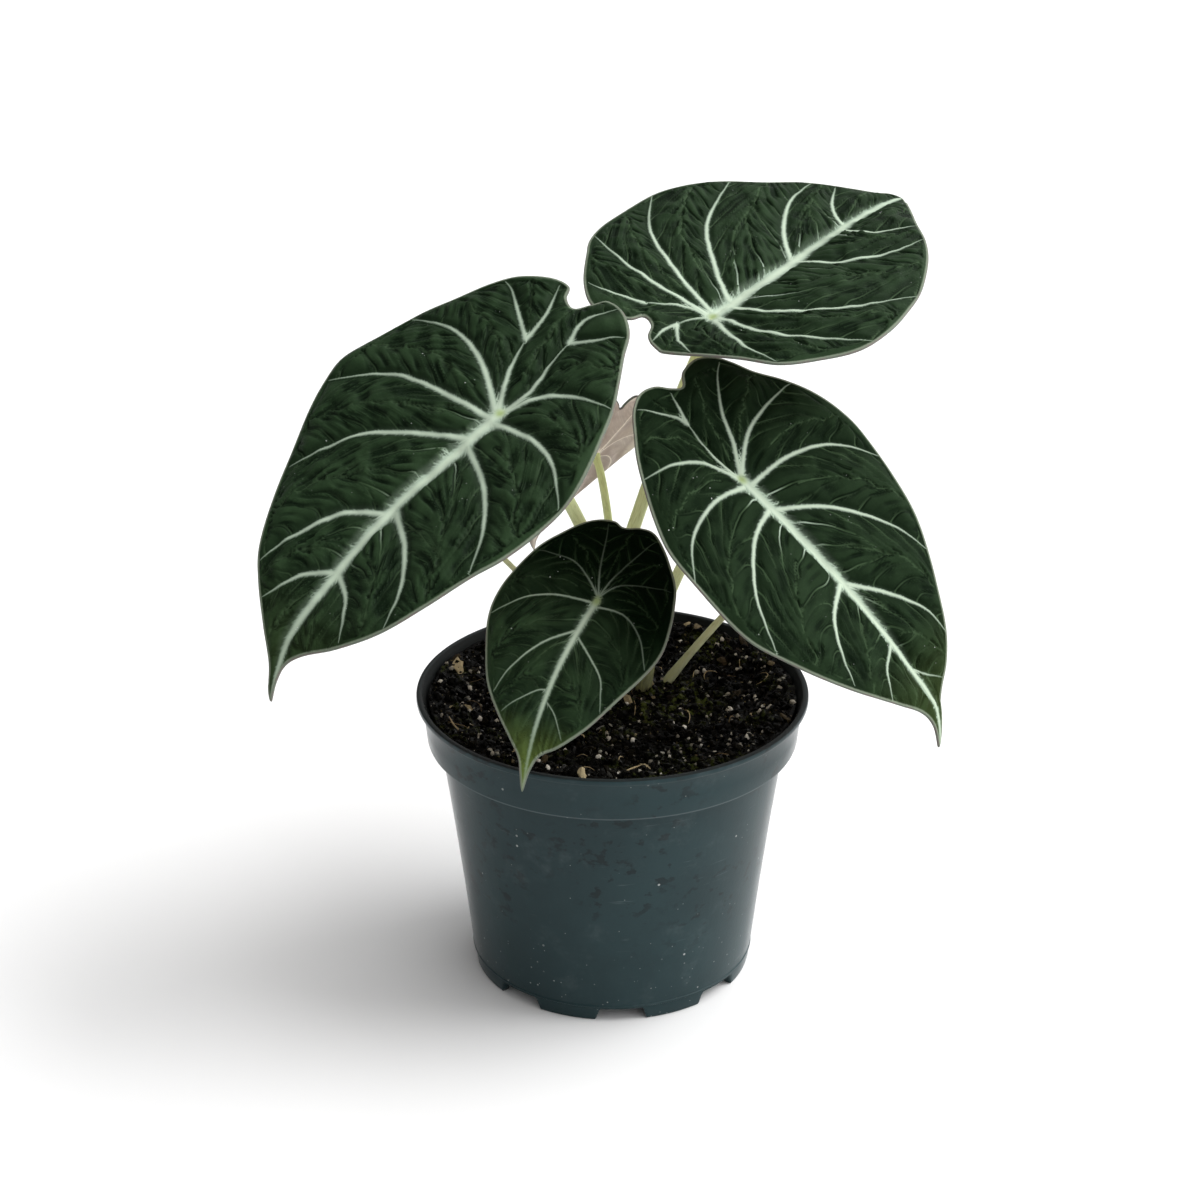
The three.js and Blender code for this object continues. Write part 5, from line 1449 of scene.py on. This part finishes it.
# The earthy finishes: colours from dark to light, roughness, gloss, and the depth of their grain in mm.
groundLooks = {
    "soilEarth": (
        [(0.0, (1, 1, 0)), (0.5, (5, 4, 2)), (0.85, (24, 21, 12)), (1.0, (92, 84, 58))], 0.42, 0.035, 0.4),
    "perliteGrain": ([(0.0, (94, 89, 78)), (0.5, (160, 155, 142)), (1.0, (212, 208, 196))], 0.9, 0.1, 0.25),
    # Dark grit, whose lighter tones are painted glints.
    "fleckAndPaintedGlint": ([(0.0, (8, 8, 7)), (0.6, (42, 42, 38)), (1.0, (156, 154, 140))], 0.3, 0.2, 0.15),
    "barkChip": ([(0.0, (24, 20, 14)), (0.4, (64, 55, 38)), (1.0, (170, 156, 122))], 0.8, 0.1, 0.4),
    "strawFibre": ([(0.0, (52, 42, 30)), (0.5, (110, 94, 68)), (1.0, (190, 172, 134))], 0.7, 0.1, 0.2),
}


def soilHeight(x, y):
    # The ground as the solid has it, but banked up towards the wall.
    reach = math.hypot(x, y) / pot["rimRadius"]
    bumps = math.sin(x * 0.31 + 1.3 * math.sin(y * 0.23)) * math.cos(y * 0.27 + 1.1 * math.sin(x * 0.19))
    bumps += 0.5 * math.sin(x * 0.73 + 2) * math.sin(y * 0.81 + 1)
    shape = soilLook["mound"] * (1 - reach * reach)
    shape += soilLook["roughness"] * bumps * 0.66 * (1 - 0.6 * reach)
    start, end, rise = soilLook["bank"]
    shape += rise * float(smooth(start, end, math.hypot(x, y)))
    return soilEdgeHeight + shape


def crumbledHeight(x, y):
    # The same ground with its lumps and pits.
    rough = [noise.noise((x * scale, y * scale, layer)) * size
             for scale, layer, size in soilLook["lumpLayers"]]
    return soilHeight(x, y) + sum(rough)


def makeSoil(material):
    rings, columns, gap = soilLook["rings"], soilLook["columns"], soilLook["gap"]
    bandBottom = pot["height"] - pot["bandHeight"]
    angles = anglesRound(columns)
    vertices = [[0, 0, crumbledHeight(0, 0)]]
    for i in range(1, rings + 1):
        radius = soilTopRadius * (i / rings) ** 0.8
        for a in angles:
            x, y = radius * math.cos(a), radius * math.sin(a)
            vertices.append([x, y, crumbledHeight(x, y)])
    sides = [
        (pot["bandBottomRadius"] - pot["wall"] - gap, bandBottom + 1.5),
        (pot["bodyTopRadius"] - pot["wall"] + 0.1 - gap, bandBottom - 1.05),
        (pot["baseRadius"] - 0.5 - gap, pot["floorTop"] + gap),
    ]
    for radius, z in sides:
        vertices += [[radius * math.cos(a), radius * math.sin(a), z] for a in angles]
    vertices.append([0, 0, pot["floorTop"] + gap])
    index = np.arange(columns)
    after = (index + 1) % columns
    faces = np.stack([np.zeros(columns, int), 1 + index, 1 + after], 1).tolist()
    last = 1 + (rings + len(sides) - 1) * columns
    for start in range(1, last, columns):
        a, b = start + index, start + after
        faces += np.stack([a, a + columns, b + columns, b], 1).tolist()
    faces += np.stack([last + index, np.full(columns, len(vertices) - 1), last + after], 1).tolist()
    piece = makePiece("soilBed", vertices, faces, [material], values={"tone": np.full(len(vertices), 0.25)})
    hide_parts("soil")


def ballShape(divisions):
    # Points and triangles of a round lump, from an icosahedron.
    golden = (1 + math.sqrt(5)) / 2
    corners = [(-1, golden, 0), (1, golden, 0), (-1, -golden, 0), (1, -golden, 0), (0, -1, golden),
               (0, 1, golden), (0, -1, -golden), (0, 1, -golden), (golden, 0, -1), (golden, 0, 1),
               (-golden, 0, -1), (-golden, 0, 1)]
    points = [tuple(np.array(p) / math.hypot(*p)) for p in corners]
    faces = [(0, 11, 5), (0, 5, 1), (0, 1, 7), (0, 7, 10), (0, 10, 11), (1, 5, 9), (5, 11, 4), (11, 10, 2),
             (10, 7, 6), (7, 1, 8), (3, 9, 4), (3, 4, 2), (3, 2, 6), (3, 6, 8), (3, 8, 9), (4, 9, 5),
             (2, 4, 11), (6, 2, 10), (8, 6, 7), (9, 8, 1)]
    for _ in range(divisions):
        halves = {}

        def half(a, b):
            key = (min(a, b), max(a, b))
            if key not in halves:
                middle = np.array(points[a]) + np.array(points[b])
                halves[key] = len(points)
                points.append(tuple(middle / np.linalg.norm(middle)))
            return halves[key]

        smaller = []
        for a, b, c in faces:
            ab, bc, ca = half(a, b), half(b, c), half(c, a)
            smaller += [(a, ab, ca), (b, bc, ab), (c, ca, bc), (ab, bc, ca)]
        faces = smaller
    return np.array(points), np.array(faces)


def turnBy(angles):
    # A turn about each axis in turn, as a matrix.
    cx, cy, cz = np.cos(angles)
    sx, sy, sz = np.sin(angles)
    aboutX = np.array([[1, 0, 0], [0, cx, -sx], [0, sx, cx]])
    aboutY = np.array([[cy, 0, sy], [0, 1, 0], [-sy, 0, cy]])
    aboutZ = np.array([[cz, -sz, 0], [sz, cz, 0], [0, 0, 1]])
    return aboutZ @ aboutY @ aboutX


def scatter(name, lump, material):
    # Lumps strewn over the soil as one piece; the first ones lie where they are seen.
    shape, triangles = ballShape(lump["divisions"])
    least, most = lump["sizes"]
    dark, light = lump["tones"]
    stretch, flat = lump["stretch"], lump["flat"]
    tilt = 0.5 if flat < 0.6 else 3.0
    vertices, faces, tone = [], [], []
    for i in range(lump["count"]):
        radius = least + (most - least) * random.random() ** 2.2
        reach = (soilTopRadius - radius * stretch) * math.sqrt(random.random())
        angle = 2 * math.pi * random.random()
        x, y = reach * math.cos(angle), reach * math.sin(angle)
        if i < len(lump["seen"]):
            x, y, radius = lump["seen"][i]
            shift = min(1, (soilTopRadius - 1.2 * radius) / math.hypot(x, y))
            x, y = x * shift, y * shift
        long, thin = 1 + (stretch - 1) * random.random(), 1 - (1 - flat) * random.random()
        rough = 1 + lump["jitter"] * random.normal(size=(len(shape), 1))
        turn = turnBy([tilt * random.normal(), tilt * random.normal(), 6.3 * random.random()])
        lift = crumbledHeight(x, y) + radius * thin * (1 - 2 * lump["sunk"])
        vertices.append(shape * rough * np.array([long, 1, thin]) * radius @ turn.T + np.array([x, y, lift]))
        faces.append(triangles + i * len(shape))
        tone.append(np.full(len(shape), dark + (light - dark) * random.random() ** 1.8))
    piece = makePiece(name, np.vstack(vertices), np.vstack(faces).tolist(), [material],
                      values={"tone": np.concatenate(tone)}, isSmooth=lump["isSmooth"])


def fibrePaths():
    # Where the straws and rootlets lie, seen from above; the first ones are the clearly seen ones.
    paths = [curveThrough(path, 5) for path in fibreLook["seen"]]
    steps = fibreLook["steps"]
    for _ in range(fibreLook["count"]):
        reach = soilTopRadius * 0.9 * math.sqrt(random.random())
        angle, heading = (2 * math.pi * random.random() for _ in range(2))
        turn = random.normal() * 0.12
        length = 3 + 9 * random.random() ** 2
        headings = heading + turn * np.arange(steps)
        start = np.array([[reach * math.cos(angle), reach * math.sin(angle)]])
        path = start + np.cumsum(np.stack([np.cos(headings), np.sin(headings)], 1) * length / steps, axis=0)
        if np.max(np.hypot(*path.T)) < soilTopRadius - 0.6:
            paths.append(path)
    return paths


def makeFibres(material):
    # Thin bent straws and rootlets lying on the soil.
    sides = fibreLook["sides"]
    angles = anglesRound(sides)
    vertices, faces, tone = [], [], []
    for number, path in enumerate(fibrePaths()):
        isSeen = number < len(fibreLook["seen"])
        count = len(path)
        radius = fibreLook["seenRadius"] if isSeen else 0.1 + 0.1 * random.random()
        arch = 0.5 + 0.9 * random.random()
        heights = np.array([crumbledHeight(x, y) for x, y in path])
        heights = heights * 0.4 + heights.mean() * 0.6 + 0.25 + arch * np.sin(np.linspace(0, np.pi, count))
        way = np.gradient(path, axis=0)
        across = np.stack([-way[:, 1], way[:, 0]], 1) / np.hypot(*way.T)[:, None]
        faces += tubeFaces(count, sides, len(vertices) * sides)
        for i in range(count):
            size = radius * (0.35 + 0.65 * math.sin(math.pi * (0.1 + 0.8 * i / (count - 1))))
            spread = size * np.cos(angles)[:, None] * across[i]
            vertices.append(np.column_stack([path[i] + spread, heights[i] + size * np.sin(angles)]))
        tone.append(np.full(count * sides, 0.8 if isSeen else random.random()))
    values = {"tone": np.concatenate(tone)}
    piece = makePiece("soilFibres", np.vstack(vertices), faces, [material], None, values)


def mossed(finish, place, colour):
    # Green patches round the mossy places, and fainter ones wherever it stays damp.
    damp = finish.cloud(place, (70, 70, 20), 3.0).steps(0.5, 0.62) * 0.5
    for centre, near, far in soilLook["moss"]:
        centre = [float(value) for value in (potAxis + np.array(centre)) / 1000]
        damp = damp + 1 - finish.vector("DISTANCE", [place, centre], 1).steps(near / 1000, far / 1000)
    damp = damp.atMost(1.0) * finish.cloud(place, 420.0, 2.0).steps(0.5, 0.64)
    return finish.mix(damp * 0.75, colour, soilLook["mossColour"])


def groundFinish(name):
    # Earthy material: the attribute tone picks the colour of each lump.
    colours, roughness, gloss, grainDepth = groundLooks[name]
    finish = Finish(name)
    place = finish.place()
    grain = finish.cloud(place, 1400.0, 3.0, 0.7)
    colour = finish.ramp(finish.attribute("tone") + grain * 0.35 - 0.17, colours)
    if name == "soilEarth":
        colour = mossed(finish, place, colour)
    finish.set({
        "Base Color": colour,
        "Roughness": roughness,
        "Specular IOR Level": gloss,
        "Normal": finish.bump(grain, 0.7, grainDepth),
    })
    return finish.material


def makeGround():
    finishes = {name: groundFinish(name) for name in groundLooks}
    makeSoil(finishes["soilEarth"])
    for name, lump in lumpKinds.items():
        scatter(name, lump, finishes[lump["finish"]])
    makeFibres(finishes["strawFibre"])


def makePlant():
    otherSides = [bladeUnderFinish(), marginFinish()]
    grown = [bladeTopFinish("bladeVelvet", bladeColours["green"]), *otherSides]
    young = [bladeTopFinish("youngBladeVelvet", bladeColours["young"]), *otherSides]
    stalkSkin = stalkFinish()
    for seed, (name, leaf) in enumerate(leaves.items()):
        makeBlade(name, leaf, young if name == "young" else grown, seed + 3)
        makeStalk(name, leaf, stalkSkin, seed)
    makeCrown(crownFinish())


setCamera()
setStage()
print("camera and light are set")
makePot(potFinish())
print("pot is made")
makeGround()
print("soil is made")
makePlant()
print("plant is made")
